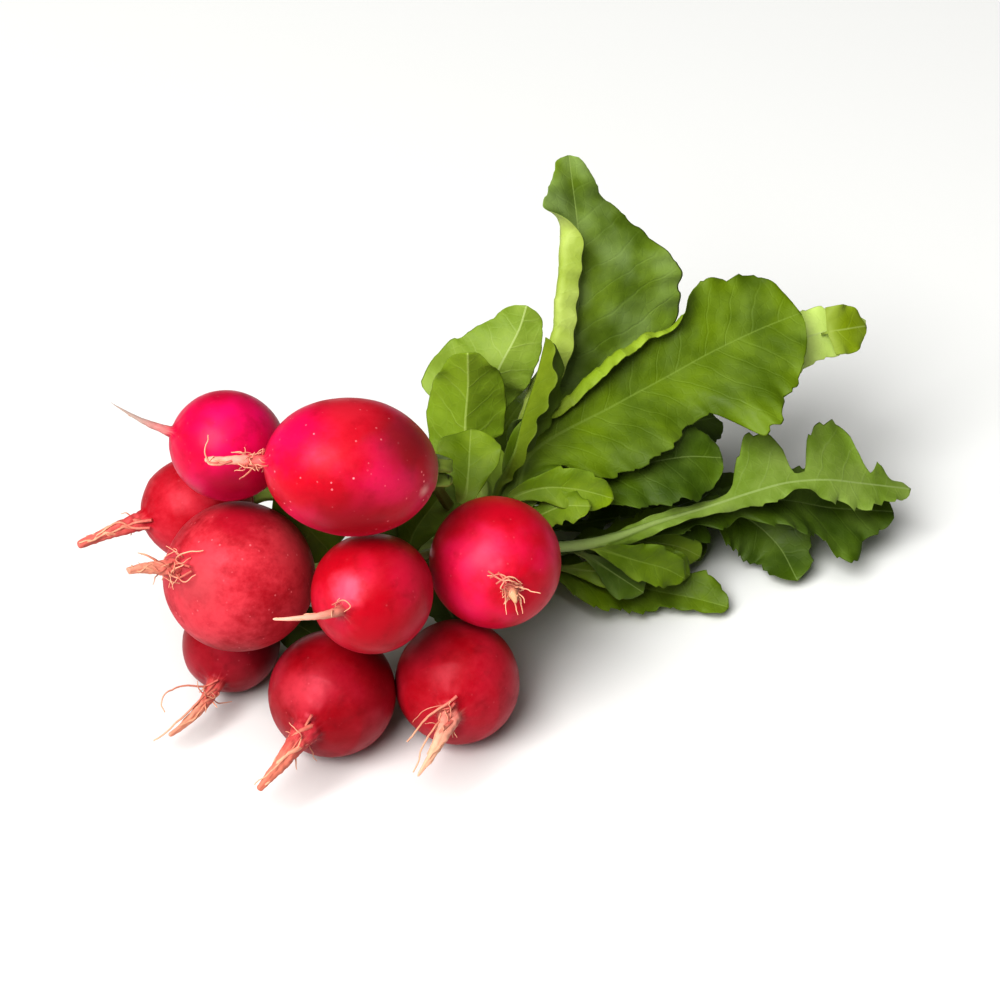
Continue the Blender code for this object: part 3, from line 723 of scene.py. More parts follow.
class StrandSweep:
    """Geometry Nodes tree that turns lines of points into thin curling strands."""

    TREE = "strand_sweep"

    def __init__(self) -> None:
        """Makes the tree with its named inputs: lengths in metres, and a seed for its wander."""
        tree = bpy.data.node_groups.new(self.TREE, "GeometryNodeTree")
        tree.is_modifier = True
        self.ids = {}
        sizes = (("Lines", "NodeSocketGeometry", None), ("Sides", "NodeSocketInt", 6),
                 ("Wander", "NodeSocketFloat", 0.0), ("Wander Size", "NodeSocketFloat", 0.003),
                 ("Seed", "NodeSocketFloat", 0.0), ("Finish", "NodeSocketMaterial", None))
        for name, kind, value in sizes:
            socket = tree.interface.new_socket(name, in_out="INPUT", socket_type=kind)
            if value is not None:
                socket.default_value = value
            self.ids[name] = socket.identifier
        tree.interface.new_socket("Strands", in_out="OUTPUT", socket_type="NodeSocketGeometry")
        given = add_node(tree, "NodeGroupInput").node.outputs

        run, width = (
            add_node(tree, "GeometryNodeInputNamedAttribute", {"data_type": "FLOAT"}, {"Name": name})
            for name in ("thread_run", "thread_width")
        )
        spot = add_node(tree, "GeometryNodeInputPosition")
        inverse = add_node(tree, MATH, {"operation": "DIVIDE"}, {0: 1.0, 1: given["Wander Size"]})
        noise_node = add_node(tree, NOISE, SEEDED,
                              {"Vector": spot, "W": given["Seed"], "Scale": inverse, "Detail": 1.0})
        centred = add_node(tree, VECTOR_MATH, {"operation": "SUBTRACT"},
                           {0: noise_node.node.outputs["Color"], 1: (0.5, 0.5, 0.5)})
        reach = add_node(tree, MATH, TIMES, {0: run, 1: given["Wander"]})
        shift = add_node(tree, VECTOR_MATH, {"operation": "SCALE"}, {0: centred, "Scale": reach})
        curve = add_node(tree, "GeometryNodeMeshToCurve", {}, {"Mesh": given["Lines"]})
        moved = add_node(tree, "GeometryNodeSetPosition", {}, {"Geometry": curve, "Offset": shift})
        ring = add_node(tree, "GeometryNodeCurvePrimitiveCircle", {},
                        {"Resolution": given["Sides"], "Radius": 1.0})
        swept = add_node(tree, "GeometryNodeCurveToMesh", {},
                         {"Curve": moved, "Profile Curve": ring, "Scale": width, "Fill Caps": True})
        smooth = add_node(tree, "GeometryNodeSetShadeSmooth", {}, {"Geometry": swept})
        real = add_node(tree, "GeometryNodeRealizeInstances", {}, {"Geometry": smooth})
        done = add_node(tree, "GeometryNodeSetMaterial", {},
                        {"Geometry": real, "Material": given["Finish"]})
        add_node(tree, "NodeGroupOutput", {}, {0: done})
        self.tree = tree

    def sweep(self, name: str, lines: list[tuple[Array, Array]], finish: Finish,
              sizes: dict[str, float], box: tuple[Array, Array]) -> bpy.types.Object:
        """Sweeps lines of points into one plain mesh.

        Args:
            name: the piece's name.
            lines: each line's points and radii, in millimetres of the tables.
            finish: what the strands are made of.
            sizes: values for the tree's named inputs.
            box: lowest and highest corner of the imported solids, which the piece stays inside.

        Returns:
            The finished piece, without the modifier.
        """
        points, edges, widths, runs = [], [], [], []
        for line, radii in lines:
            first = len(points)
            points += [list(p) for p in np.clip((line - CENTRE) * MM, *box)]
            edges += [(first + k, first + k + 1) for k in range(len(line) - 1)]
            widths += list(np.asarray(radii) * MM)
            runs += list(np.linspace(0.0, 1.0, len(line)))
        mesh = bpy.data.meshes.new(name)
        mesh.from_pydata(points, edges, [])
        for trait, values in (("thread_width", widths), ("thread_run", runs)):
            mesh.attributes.new(trait, "FLOAT", "POINT").data.foreach_set("value", values)
        piece = bpy.data.objects.new(name, mesh)
        bpy.context.scene.collection.objects.link(piece)
        modifier = piece.modifiers.new("sweep", "NODES")
        modifier.node_group = self.tree
        modifier[self.ids["Finish"]] = finish.material()
        for key, value in sizes.items():
            modifier[self.ids[key]] = value
        drawn = piece.evaluated_get(bpy.context.evaluated_depsgraph_get())
        plain = bpy.data.meshes.new_from_object(drawn)
        spots = np.empty(3 * len(plain.vertices))
        plain.vertices.foreach_get("co", spots)
        plain.vertices.foreach_set("co", np.clip(spots.reshape(-1, 3), *box).ravel())
        piece.modifiers.clear()
        piece.data = plain
        plain.name = name
        return piece


# The bunch

def seat(piece: bpy.types.Object, node: str) -> None:
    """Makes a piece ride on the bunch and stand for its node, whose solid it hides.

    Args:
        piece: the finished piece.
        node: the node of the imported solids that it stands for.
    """
    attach(piece, "root")
    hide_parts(node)
    LOG.info("%s: %d faces", piece.name, len(piece.data.polygons))


# Ways that a taproot bends.
DOWN = (0, 0, -1)
SKYWARD = (0, 0, 1)
BACKWARD = (-0.8, 0.6, 0)
SIDEWARD = (-0.4, 0.4, -0.8)


@dataclass(frozen=True)
class Radish:
    """One radish root: a swollen body, a creased taproot and the rootlets on it.

    The fields up to rootlets are the solid's own, but some taproots are finer here. centre: middle
    of the swollen body. heading, pitch: where the taproot points, in degrees. tap: its length past
    the body, and tap_radius its radius there. bend: degrees it turns, towards bend_to. wraps:
    strands wound on the taproot, and how many turns they make. tangle: how many curling rootlets
    grow at its foot, and their length. crease: depth of its folds, as a share of its radius.
    tip_share: share of its radius that is left at its tip. hairs: radius of each single hair that
    the photograph shows, and the pixels it passes.
    """

    node: str
    centre: Triple
    heading: float
    pitch: float
    half_length: float
    half_width: float
    tap: float
    tap_radius: float
    bend: float
    bend_to: Triple
    rootlets: int
    skin: RootSkin
    wraps: tuple[int, float] = (2, 0.6)
    tangle: tuple[int, float] = (3, 5.0)
    crease: float = 0.2
    tip_share: float = 0.3
    hairs: tuple[tuple[float, Pixels], ...] = ()

    SIDES = 80
    BODY_RINGS = 64
    TAP_RINGS = 56
    CROWN_RADIUS = 4.2
    FIRST_ANGLE = 18.0
    LAST_ANGLE = 168.0
    TAP_STARTS = 0.9
    TAP_BLEND = 2.4
    SHOULDER = 1.4
    SHOULDER_STARTS = 0.7
    SHOULDER_LENGTH = 0.22
    STEM_FOOT_PITCH = 1.9

    # The crown's dome and the taproot's blunt end, as rings past the ends of the body.
    DOME_SHARES = np.array([0.05, 0.3, 0.55, 0.75, 0.9])
    DOME_HEIGHT = 0.9
    TIP_SHARES = np.array([0.9, 0.6, 0.2])
    TIP_STEPS = np.array([0.25, 0.5, 0.6])
    PAST_TIP = 9.0

    # How far the taproot sways, and the length of a sway.
    SWAY = 0.55
    SWAY_LENGTH = 5.0

    # Height and width of the dents in the body, and of the lumps on the taproot, whose height is a
    # share of its radius. Its folds run along it, so many round its girth.
    DENTS = ((0.22, 13.0), (0.05, 3.5))
    LUMPS = (0.16, 1.1)
    FOLDS = 3
    FOLD_MIDDLE = 0.6

    # The pleats where the body meets the taproot: how many, how deep, how wide the waves that bend
    # them, and the share of the body at which they lie.
    PLEATS = 11
    PLEAT_DEPTH = 0.08
    PLEAT_WOBBLE = 6.0
    PLEATS_AT = 0.93
    PLEATS_SPREAD = 0.07

    # The lowest that the skin may lie, and how far its pattern is stretched along the root.
    FLOOR_GAP = 0.02
    GRAIN_STRETCH = 0.35

    # Rootlets, wound strands and hairs: steps and points along them, radii at the root and at the
    # end, and the share of the taproot's radius at which they lie.
    ROOTLET_STEPS = 4
    ROOTLET_RADII = (0.3, 0.1)
    TANGLE_STEPS = 5
    TANGLE_RADII = (0.18, 0.08)
    POINTS_PER_STEP = 6
    STRAND_POINTS = 28
    STRAND_LIES_AT = 0.8
    HAIR_POINTS = 7
    HAIR_LIFT = 0.15
    SEEN_POINTS = 60

    def axis(self) -> Array:
        """Where the taproot points."""
        return direction(self.heading, self.pitch)

    def centreline(self, x: Array) -> tuple[Array, Array]:
        """Reads the centreline.

        Args:
            x: distances along it from the middle of the body.

        Returns:
            Its points and directions there.
        """
        axis = self.axis()
        straight = self.TAP_STARTS * self.half_length
        turn = square_to(np.array(self.bend_to, float), axis)
        reach = self.tap + self.half_length - straight
        bend = math.radians(self.bend)
        angle = bend * np.maximum(x - straight, 0.0) / reach
        arc = reach / bend
        ahead = np.minimum(x, straight) + arc * np.sin(angle)
        points = np.array(self.centre) + ahead[:, None] * axis
        points = points + (arc * (1 - np.cos(angle)))[:, None] * turn
        return points, np.cos(angle)[:, None] * axis + np.sin(angle)[:, None] * turn

    def radius(self, x: Array) -> Array:
        """Radius of the body and the taproot.

        Args:
            x: distances along the centreline from the middle of the body.

        Returns:
            The radius at each of them.
        """
        share = x / self.half_length
        body = self.half_width * np.sqrt(np.maximum(1 - share**2, 0.0))
        past = np.maximum(share - self.SHOULDER_STARTS, 0.0)
        shoulder = self.SHOULDER * self.tap_radius * np.exp(-past / self.SHOULDER_LENGTH)
        left = 1 - np.maximum(x - self.half_length, 0.0) / self.tap
        tap = shoulder + self.tap_radius * (self.tip_share + (1 - self.tip_share) * left)
        joined = (body**self.TAP_BLEND + tap**self.TAP_BLEND) ** (1 / self.TAP_BLEND)
        grown = smooth_step(-0.7, 0.3, share)
        return np.maximum(body, self.CROWN_RADIUS) * (1 - grown) + joined * grown

    def crown(self) -> tuple[Array, Array, Array, Array]:
        """The place that the leaves grow from.

        Returns:
            Middle of the crown, the way its stems leave, and two directions across it.
        """
        out = -self.axis()
        reach = self.half_length * math.cos(math.radians(self.FIRST_ANGLE))
        lift = square_to(UP, out)
        return np.array(self.centre) + out * reach, out, lift, np.cross(lift, out)

    def body(self) -> Skin:
        """The skin of body, crown and taproot.

        Returns:
            The closed skin.
        """
        angles = np.radians(np.linspace(self.FIRST_ANGLE, self.LAST_ANGLE, self.BODY_RINGS))
        body_x = -self.half_length * np.cos(angles)
        tap_x = self.half_length + np.linspace(0.0, 1.0, self.TAP_RINGS)[1:] * self.tap
        x = np.concatenate([body_x, tap_x])
        points, tangents = self.centreline(x)
        radii = self.radius(x)

        # The crown rises in a low dome, and the taproot closes in a blunt tip.
        dome_lift = self.DOME_HEIGHT * np.sqrt(1 - self.DOME_SHARES**2)
        dome = points[0] + dome_lift[:, None] * -self.axis()
        tip = points[-1] + self.TIP_STEPS[:, None] * tangents[-1]
        ends = (np.repeat(tangents[:1], len(dome), 0), np.repeat(tangents[-1:], len(tip), 0))
        points = np.concatenate([dome, points, tip])
        tangents = np.concatenate([ends[0], tangents, ends[1]])
        radii = np.concatenate([self.DOME_SHARES * radii[0], radii, self.TIP_SHARES * radii[-1]])

        # The share runs from -1 at the crown over 1 at the taproot's start to 2 at its tip.
        share = np.concatenate([-1 - 0.1 * (1 - self.DOME_SHARES), x / self.half_length,
                                np.full(len(tip), self.PAST_TIP)])
        past = np.maximum(share - 1, 0.0) * self.half_length / self.tap
        share = np.where(share > 1, 1 + np.minimum(past, 1.0), share)

        # The taproot wanders a little.
        seed = self.skin.seed
        along = np.concatenate([np.zeros(len(dome)), x, x[-1:] + [0.2, 0.4, 0.6]])
        sway_at = np.stack([along / self.SWAY_LENGTH, np.full_like(along, seed), np.zeros_like(along)], 1)
        sway = self.SWAY * np.clip(share - 1, 0, 0.6)
        points = points + (sway * ripple(sway_at, 1.0, 1))[:, None] * square_to(UP, self.axis())

        rings, outward = circles(points, tangents, radii, self.SIDES)
        turn = 2 * math.pi * np.arange(self.SIDES)[None, :] / self.SIDES
        dents = sum(height * ripple(rings, width, seed) for height, width in self.DENTS)
        on_body = smooth_step(-0.95, -0.7, share) * (1 - smooth_step(0.8, 1.0, share))
        on_tap = smooth_step(0.93, 1.15, share)
        twist = self.wraps[1] * 2 * math.pi * np.clip(share - 0.8, 0, 2)[:, None]
        folds = self.crease * (np.abs(np.sin((turn * self.FOLDS + twist) / 2)) - self.FOLD_MIDDLE)
        lumps = self.LUMPS[0] * ripple(rings, self.LUMPS[1], seed + 2)
        tap_shape = radii[:, None] * (folds + lumps) * on_tap[:, None]
        # Fine pleats draw in where the body meets the taproot.
        drawn_in = np.exp(-(((share - self.PLEATS_AT) / self.PLEATS_SPREAD) ** 2))[:, None]
        pleat_turn = turn * self.PLEATS + 2 * ripple(rings, self.PLEAT_WOBBLE, 4)
        pleats = self.PLEAT_DEPTH * np.sin(pleat_turn) * drawn_in
        rings = rings + outward * (dents * on_body[:, None] + tap_shape + pleats)[..., None]
        rings[..., 2] = np.maximum(rings[..., 2], self.FLOOR_GAP)

        width = np.broadcast_to(share[:, None], (len(share), self.SIDES))
        zero = np.zeros_like(width)
        spin = turn + zero
        grain = np.stack([np.cos(spin), np.sin(spin), width * self.GRAIN_STRETCH], -1)
        return Skin(rings, {"root_place": np.stack([width, zero, zero], -1), "root_grain": grain})

    def grown_rootlets(self, seed: int) -> list[tuple[Array, Array]]:
        """The solid's own rootlets, drawn from the same seed.

        Args:
            seed: the root's place in the bunch.

        Returns:
            Each rootlet's points and radii.
        """
        random = np.random.default_rng(seed)
        lines = []
        for _ in range(self.rootlets):
            along = self.half_length + self.tap * random.uniform(0.05, 0.4)
            start, tangent = (value[0] for value in self.centreline(np.array([along])))
            side = square_to(random.normal(size=3) - 0.5 * UP, tangent)
            heading = unit(0.8 * side + 0.7 * tangent)
            curl = unit(random.normal(size=3) - 0.8 * UP)
            step = random.uniform(4.5, 9.0) / self.ROOTLET_STEPS
            point = start
            spots = []
            for _ in range(self.ROOTLET_STEPS):
                spots.append(point)
                point = point + heading * step
                heading = unit(heading + 0.35 * curl)
            path = smooth_path(spots, self.POINTS_PER_STEP)
            lines.append((path, np.linspace(*self.ROOTLET_RADII, len(path))))
        return lines

    def wound_strands(self) -> list[tuple[Array, Array]]:
        """Strands that wind along the taproot, half sunk in it.

        Returns:
            Each strand's points and radii.
        """
        count, turns = self.wraps
        random = np.random.default_rng(int(self.skin.seed * 10) + 50)
        lines = []
        for k in range(count):
            first = self.half_length + self.tap * random.uniform(0.0, 0.2)
            last = self.half_length + self.tap * random.uniform(0.7, 1.0)
            x = np.linspace(first, last, self.STRAND_POINTS)
            run = np.linspace(0, 1, self.STRAND_POINTS)
            points, tangents = self.centreline(x)
            side = square_to(np.broadcast_to(UP, tangents.shape), tangents)
            across = np.cross(tangents, side)
            spin = 2 * math.pi * (k / count + turns * run) + random.uniform(0, 1)
            out = np.cos(spin)[:, None] * side + np.sin(spin)[:, None] * across
            width = 0.26 * self.tap_radius * (1 - 0.6 * run**2)
            lines.append((points + out * (self.radius(x) * self.STRAND_LIES_AT)[:, None], width))
        return lines

    def tangled_rootlets(self) -> list[tuple[Array, Array]]:
        """Fine curling rootlets at the foot of the taproot.

        Returns:
            Each rootlet's points and radii.
        """
        count, length = self.tangle
        random = np.random.default_rng(int(self.skin.seed * 10) + 90)
        lines = []
        for _ in range(count):
            x = self.half_length + self.tap * random.uniform(-0.05, 0.35)
            start, tangent = (value[0] for value in self.centreline(np.array([x])))
            side = square_to(random.normal(size=3), tangent)
            radius = self.radius(np.array([x]))[0]
            heading = unit(side + random.uniform(-0.4, 0.8) * tangent)
            curl = unit(random.normal(size=3))
            reach = length * random.uniform(0.6, 1.3)
            spots = [start + side * radius * 0.7]
            for _ in range(self.TANGLE_STEPS):
                spots.append(spots[-1] + heading * reach / self.TANGLE_STEPS)
                heading = unit(heading + 0.85 * curl + 0.35 * random.normal(size=3))
            path = smooth_path(spots, self.POINTS_PER_STEP)
            lines.append((path, np.linspace(*self.TANGLE_RADII, len(path))))
        return lines

    def seen_at(self, pixel: tuple[float, float]) -> Array:
        """Point on the front of the body or the taproot that the photograph shows at a pixel.

        Args:
            pixel: the pixel's place from the photograph's left and top.

        Returns:
            The point, a little in front of the skin.
        """
        across = (pixel[0] - PICTURE_MIDDLE) * PIXEL
        rise = (PICTURE_MIDDLE - pixel[1]) * PIXEL
        ray = PICTURE_RIGHT * across + PICTURE_UP * rise + LOOK * DISTANCE
        # The taproot: the centreline's point that passes closest to the ray.
        x = np.linspace(self.TAP_STARTS * self.half_length, self.half_length + self.tap, self.SEEN_POINTS)
        points, _ = self.centreline(x)
        ahead = (points - EYE) @ ray / (ray @ ray)
        misses = np.linalg.norm(EYE + ahead[:, None] * ray - points, axis=1)
        nearest = int(np.argmin(misses))
        reach = ahead[nearest] - self.STRAND_LIES_AT * self.radius(x)[nearest] / DISTANCE
        # The body: an egg that is squeezed to a ball of radius one, where the ray meets it.
        axis = self.axis()
        start, step = (
            (line - axis * (line @ axis)) / self.half_width + axis * (line @ axis) / self.half_length
            for line in (EYE - np.array(self.centre), ray)
        )
        a, b, c = step @ step, start @ step, start @ start - 1
        if b * b > a * c:
            reach = min(reach, (-b - math.sqrt(b * b - a * c)) / a)
        return EYE + ray * (reach - self.HAIR_LIFT / DISTANCE)

    def seen_hairs(self) -> list[tuple[Array, Array]]:
        """The single hairs that the photograph shows on this root.

        Returns:
            Each hair's points and radii.
        """
        lines = []
        for width, pixels in self.hairs:
            path = smooth_path([self.seen_at(pixel) for pixel in pixels], self.HAIR_POINTS)
            lines.append((path, np.linspace(width, 0.5 * width, len(path))))
        return lines

    def dress(self, seed: int, sweep: StrandSweep, box: tuple[Array, Array]) -> None:
        """Builds the root's pieces and seats them on its node.

        Args:
            seed: the root's place in the bunch, which its own rootlets are drawn from.
            sweep: the tree that draws strands.
            box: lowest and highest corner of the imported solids.
        """
        piece = self.body().to_object(f"{self.node}_skin", box)
        piece.data.materials.append(self.skin.material())
        seat(piece, self.node)
        lines = self.grown_rootlets(seed) + self.wound_strands()
        lines += self.tangled_rootlets() + self.seen_hairs()
        fibre = FibreSkin("dried_rootlet")
        sizes = {"Sides": 6, "Wander": 1.6 * MM, "Wander Size": 2.5 * MM, "Seed": float(seed)}
        threads = sweep.sweep(f"{self.node}_rootlets", lines, fibre, sizes, box)
        seat(threads, self.node)


# Outlines: share along the blade, and half-widths on the left and the right.
SPOON = (
    (0.0, 1.6, 1.6), (0.15, 4.0, 4.0), (0.35, 9.0, 9.0), (0.6, 13.0, 13.0),
    (0.8, 12.0, 12.0), (0.93, 7.5, 7.5), (1.0, 0.0, 0.0),
)
LYRE = (
    (0.0, 1.4, 1.4), (0.12, 4.0, 1.8), (0.18, 4.5, 4.5), (0.24, 1.8, 4.5), (0.31, 6.5, 1.8),
    (0.38, 7.0, 6.0), (0.44, 2.2, 7.0), (0.5, 6.0, 2.4), (0.62, 12.0, 10.0), (0.7, 10.5, 12.5),
    (0.82, 12.5, 11.5), (0.92, 8.0, 8.5), (1.0, 0.0, 0.0),
)
# The same for leaflets: share along the blade, and share of the half-width.
OVAL = ((0.0, 0.3), (0.2, 0.62), (0.45, 0.95), (0.62, 1.0), (0.82, 0.8), (0.94, 0.5), (1.0, 0.0))
TONGUE = ((0.0, 0.97), (0.2, 1.0), (0.4, 0.95), (0.6, 0.82), (0.78, 0.6), (0.9, 0.36), (1.0, 0.0))
# Ways that an upper surface looks, at the foot and the tip.
LEVEL = ((-0.1, -0.1, 1.0), (-0.1, -0.1, 1.0))
TOWARDS_FRONT = ((-0.25, -0.35, 0.9), (-0.25, -0.35, 0.9))
AWAY_FROM_FRONT = ((0.5, 0.6, -0.6), (0.5, 0.6, -0.6))


@dataclass(frozen=True)
class Leaf:
    """One leaf with its stem.

    root: the radish it grows from, and foot its place on that crown. slot: row and place in the
    tie. route: the midrib's points. faces: where the upper surface looks at the foot and the tip.
    outline: share along the blade, then the half-widths on the left and the right. cup: degrees
    both halves rise. roll: further degrees that the margins turn over, along roll_span. ruffle:
    height, number and phase of the margin's waves. teeth: how many notches, and how deep. rise: how
    far the stem runs straight out of the crown, and via the points it passes before the tie. The
    fields so far follow the solid's own, with some outlines drawn closer to the photograph. saw:
    pitch and height of the small teeth. wing: how far the blade runs down the stem. margin: share
    of the left half that is left where the roll starts and ends. stem: the stem's radius.
    """

    node: str
    root: str
    foot: tuple[float, float]
    slot: tuple[int, int]
    shade: Shade
    route: tuple[Triple, ...]
    faces: tuple[Triple, Triple]
    outline: tuple[Triple, ...]
    cup: float = 12.0
    roll: tuple[float, float] = (0.0, 0.0)
    roll_span: tuple[float, float] = (0.0, 1.0)
    ruffle: tuple[float, float, float] = (1.0, 3.0, 0.0)
    teeth: tuple[int, float] = (0, 0.0)
    rise: float = 5.0
    via: tuple[Triple, ...] = ()
    saw: tuple[float, float] = (4.0, 0.6)
    wing: float = 10.0
    margin: tuple[float, float] = (1.0, 1.0)
    stem: float = 1.3

    CROWN_GAP = 0.35
    SINK = 0.9
    STEM_STEP = 1.6
    BLADE_STEP = 0.7
    HALF_THICKNESS = 0.2
    RIB_TIP_RADIUS = 0.25
    RIB_THINS = 6.0
    RIB_UPPER_SHARE = 0.3
    RIB_LOWER_SHARE = 0.85
    TIP_HALF_WIDTH = 0.5
    TIP_KEPT = 0.7
    VEIN_SWEEP = 0.35
    ROLL_FADE = 0.12
    NOTCH_FADE = 0.2
    NOTCH_ENDS = 0.97
    NOTCH_SHIFT = 0.23
    FOLD_STARTS = 0.4
    FOLD_LENGTH = 0.35
    POINTS_PER_SPAN = 24

    # Height and length of the margin's frill, and height of the domes between side veins.
    FRILL = 0.45
    FRILL_PITCH = 6.3
    DOME = 0.22

    # How unevenly the small teeth are spread and cut, each with the length of its waves.
    SPREAD = 0.6
    SPREAD_LENGTH = 7.0
    JAG = 0.4
    JAG_LENGTH = 1.9

    # The stem swells at its foot by this share, over this length.
    FOOT_SWELL = 0.25
    FOOT_LENGTH = 6.0

    # The lowest that the underside may lie, and how much higher the upper side stays.
    LOWEST = 0.3
    LOWEST_THICKNESS = 0.2

    # Steps in which half a cross-section is bent.
    BEND_STEPS = 48

    # Shares of the half-width, from the midrib outwards.
    COLUMNS = (0.0, 0.04, 0.08, 0.13, 0.2, 0.28, 0.37, 0.46, 0.55, 0.64, 0.73, 0.81, 0.88, 0.94,
               0.98, 1.0)

    def centreline(self) -> tuple[Array, Array]:
        """The line of stem and midrib.

        Returns:
            The line's points, and the distances along it of those that the stem passes.
        """
        root = next(r for r in ROOTS if r.node == self.root)
        crown, out, lift, across = root.crown()
        pitch = root.STEM_FOOT_PITCH
        foot = crown + out * self.CROWN_GAP + (lift * self.foot[1] + across * self.foot[0]) * pitch
        row, place = self.slot
        shift = 0.5 if row % 2 else 0.0
        slot = NECK + np.array([0.0, (place + shift) * STEM_PITCH, row * STEM_ROW_PITCH])
        half = ALONG * NECK_HALF_LENGTH
        tied = [slot + half * k for k in (-1, -NECK_STRAIGHT_SHARE, NECK_STRAIGHT_SHARE, 1)]
        stem = [foot, foot + out * self.rise, *self.via, *tied]
        path = smooth_path([*stem, *self.route], self.POINTS_PER_SPAN)
        knots = lengths_along(path)[:: self.POINTS_PER_SPAN]
        return path, knots[: len(stem) + 1]

    def half_widths(self, t: Array, along: Array) -> Array:
        """Half-widths of the blade, with their teeth.

        Args:
            t: each station's share of the blade.
            along: its distance from the foot of the blade.

        Returns:
            The half-widths on the left and the right of each station.
        """
        table = np.array(self.outline, float)
        # An outline ends in nought, but the blade keeps a share of its width for the round tip.
        table[-1, 1:] = self.TIP_KEPT * table[-2, 1:]
        count, depth = self.teeth
        pitch, height = self.saw
        wide = []
        for k in (1, 2):
            width = eased(table[:, 0], table[:, k], t)
            notched = smooth_step(0.0, self.NOTCH_FADE, t)
            notched = notched * (1 - smooth_step(self.NOTCH_ENDS, 1.0, t))
            if count:
                notch = (t * count + self.NOTCH_SHIFT * (k - 1)) % 1.0
                width = width + notched * depth * (1 - 4 * np.minimum(notch, 1 - notch))
            # Small uneven teeth point to the tip.
            uneven = along / pitch + self.SPREAD * np.sin(along / self.SPREAD_LENGTH + k) + 0.3 * k
            small = (uneven % 1.0) - 0.5 + self.JAG * np.sin(along / self.JAG_LENGTH + 2 * k)
            width = width + notched * height * small * smooth_step(2.0, 6.0, width)
            # The blade ends in a round tip.
            end = np.clip((along[-1] - along) / (0.9 * width[-1] + 0.1), 0.0, 1.0)
            width = width * np.sqrt(1 - (1 - end) ** 2)
            wide.append(np.maximum(width, self.TIP_HALF_WIDTH * (1 - 0.4 * t)))
        return np.stack(wide, 1)

    def section(self, t: Array, along: Array, widths: Array, rib: Array) -> tuple[Array, ...]:
        """Cross-sections of the blade and stem.

        Args:
            t: each station's share of the blade, zero on the stem.
            along: its distance from the foot of the blade, in millimetres.
            widths: half-widths on the left and the right.
            rib: radius of the stem or midrib.

        Returns:
            Places across and up, distance from the midrib along the blade, and +1 on the upper
            surface or 0 on the lower, for each station and place round the ring.
        """
        shares = np.array(self.COLUMNS)
        inner = shares[1:-1]
        u = np.concatenate([shares[::-1], inner, [1.0], inner[::-1], [0.0], inner])
        count = len(inner)
        right = np.repeat([True, False, True], [count + 2, 2 * count + 1, count + 1])
        side = np.where(right, 1.0, -1.0)
        upper = np.repeat([1.0, 0.0], [2 * count + 3, 2 * count + 1])
        face = np.where(upper > 0, 1.0, -1.0) * (u < 1)

        low, high = self.roll_span
        rolled = smooth_step(low, low + self.ROLL_FADE, t)
        rolled = rolled * (1 - smooth_step(high - self.ROLL_FADE, high, t))
        margin = np.interp(t, (low, high), self.margin)
        kept = 1 - ((1 - margin) * rolled)[:, None] * (~right)
        width = np.maximum(widths[:, right.astype(int)] * kept, rib[:, None])
        thin = np.clip((width - rib[:, None]) / rib[:, None], 0.0, 1.0)
        roll = np.where(right, self.roll[1], self.roll[0])

        # The strip turns as it runs outwards; its place is the sum of its steps.
        steps = self.BEND_STEPS
        fine = (np.arange(steps) + 0.5) / steps
        fold_at = (u * kept - self.FOLD_STARTS) / self.FOLD_LENGTH
        folds = (fine * kept[..., None] - self.FOLD_STARTS) / self.FOLD_LENGTH
        bend = roll[None, :, None] * rolled[:, None, None] * smooth_step(0, 1, folds)
        theta = np.radians(self.cup + bend) * thin[..., None]
        cell = np.clip(u * steps, 0, steps - 1e-6)
        i = np.broadcast_to(cell.astype(int)[None, :, None], theta.shape[:2] + (1,))
        part = (cell % 1.0)[None, :]
        run_out = []
        for slope in (np.cos(theta), np.sin(theta)):
            nought = np.zeros(theta.shape[:2] + (1,))
            summed = np.concatenate([nought, np.cumsum(slope, -1)], -1) / steps
            before, after = (np.take_along_axis(summed, i + k, -1)[..., 0] for k in (0, 1))
            run_out.append(width * (before + (after - before) * part))
        x, z = run_out
        lean = np.radians(self.cup + roll * rolled[:, None] * smooth_step(0, 1, fold_at)) * thin

        # The stem is round below and channelled above; the blade is thin, with its rib below.
        away = width * u
        round_stem = rib[:, None] * np.sqrt(np.maximum(1 - u**2, 0.0))
        channel = np.where(face > 0, 0.45 + 0.55 * u**2, 1.0)
        half = self.HALF_THICKNESS * np.sqrt(np.maximum(1 - u**8, 0.0))
        bulge = np.sqrt(np.maximum(1 - (away / (1.1 * rib[:, None])) ** 2, 0.0)) * rib[:, None]
        ribbed = np.maximum(half, bulge * np.where(face > 0, self.RIB_UPPER_SHARE, self.RIB_LOWER_SHARE))
        up = face * ((1 - thin) * round_stem * channel + thin * ribbed)

        height, waves, phase = self.ruffle
        wave = height * thin * u**2 * np.sin(2 * math.pi * (waves * t[:, None] + phase) + right)
        crinkle = 1.3 * np.sin(along / 9)[:, None]
        frill_turn = 2 * math.pi * along[:, None] / self.FRILL_PITCH + 2.1 * right + crinkle
        frill = self.FRILL * thin * u**4 * np.sin(frill_turn)
        # The blade is drawn down along its side veins and domes up between them.
        vein = (along[:, None] - VEIN_LEAN * away) / VEIN_PITCH + VEIN_SHIFT * right
        dome = self.DOME * thin * np.abs(np.sin(math.pi * vein))
        dome = dome * smooth_step(1.0, 4.0, away) * (1 - 0.5 * u**4)
        x = side * (x - np.sin(lean) * up)
        z = z + np.cos(lean) * up + wave + frill + dome
        return x, z, side * away, np.broadcast_to(upper, x.shape)

    def skin(self) -> Skin:
        """The skin of stem and blade, on the leaf's own line."""
        path, knots = self.centreline()
        return self.grown_along(path, knots[-1])

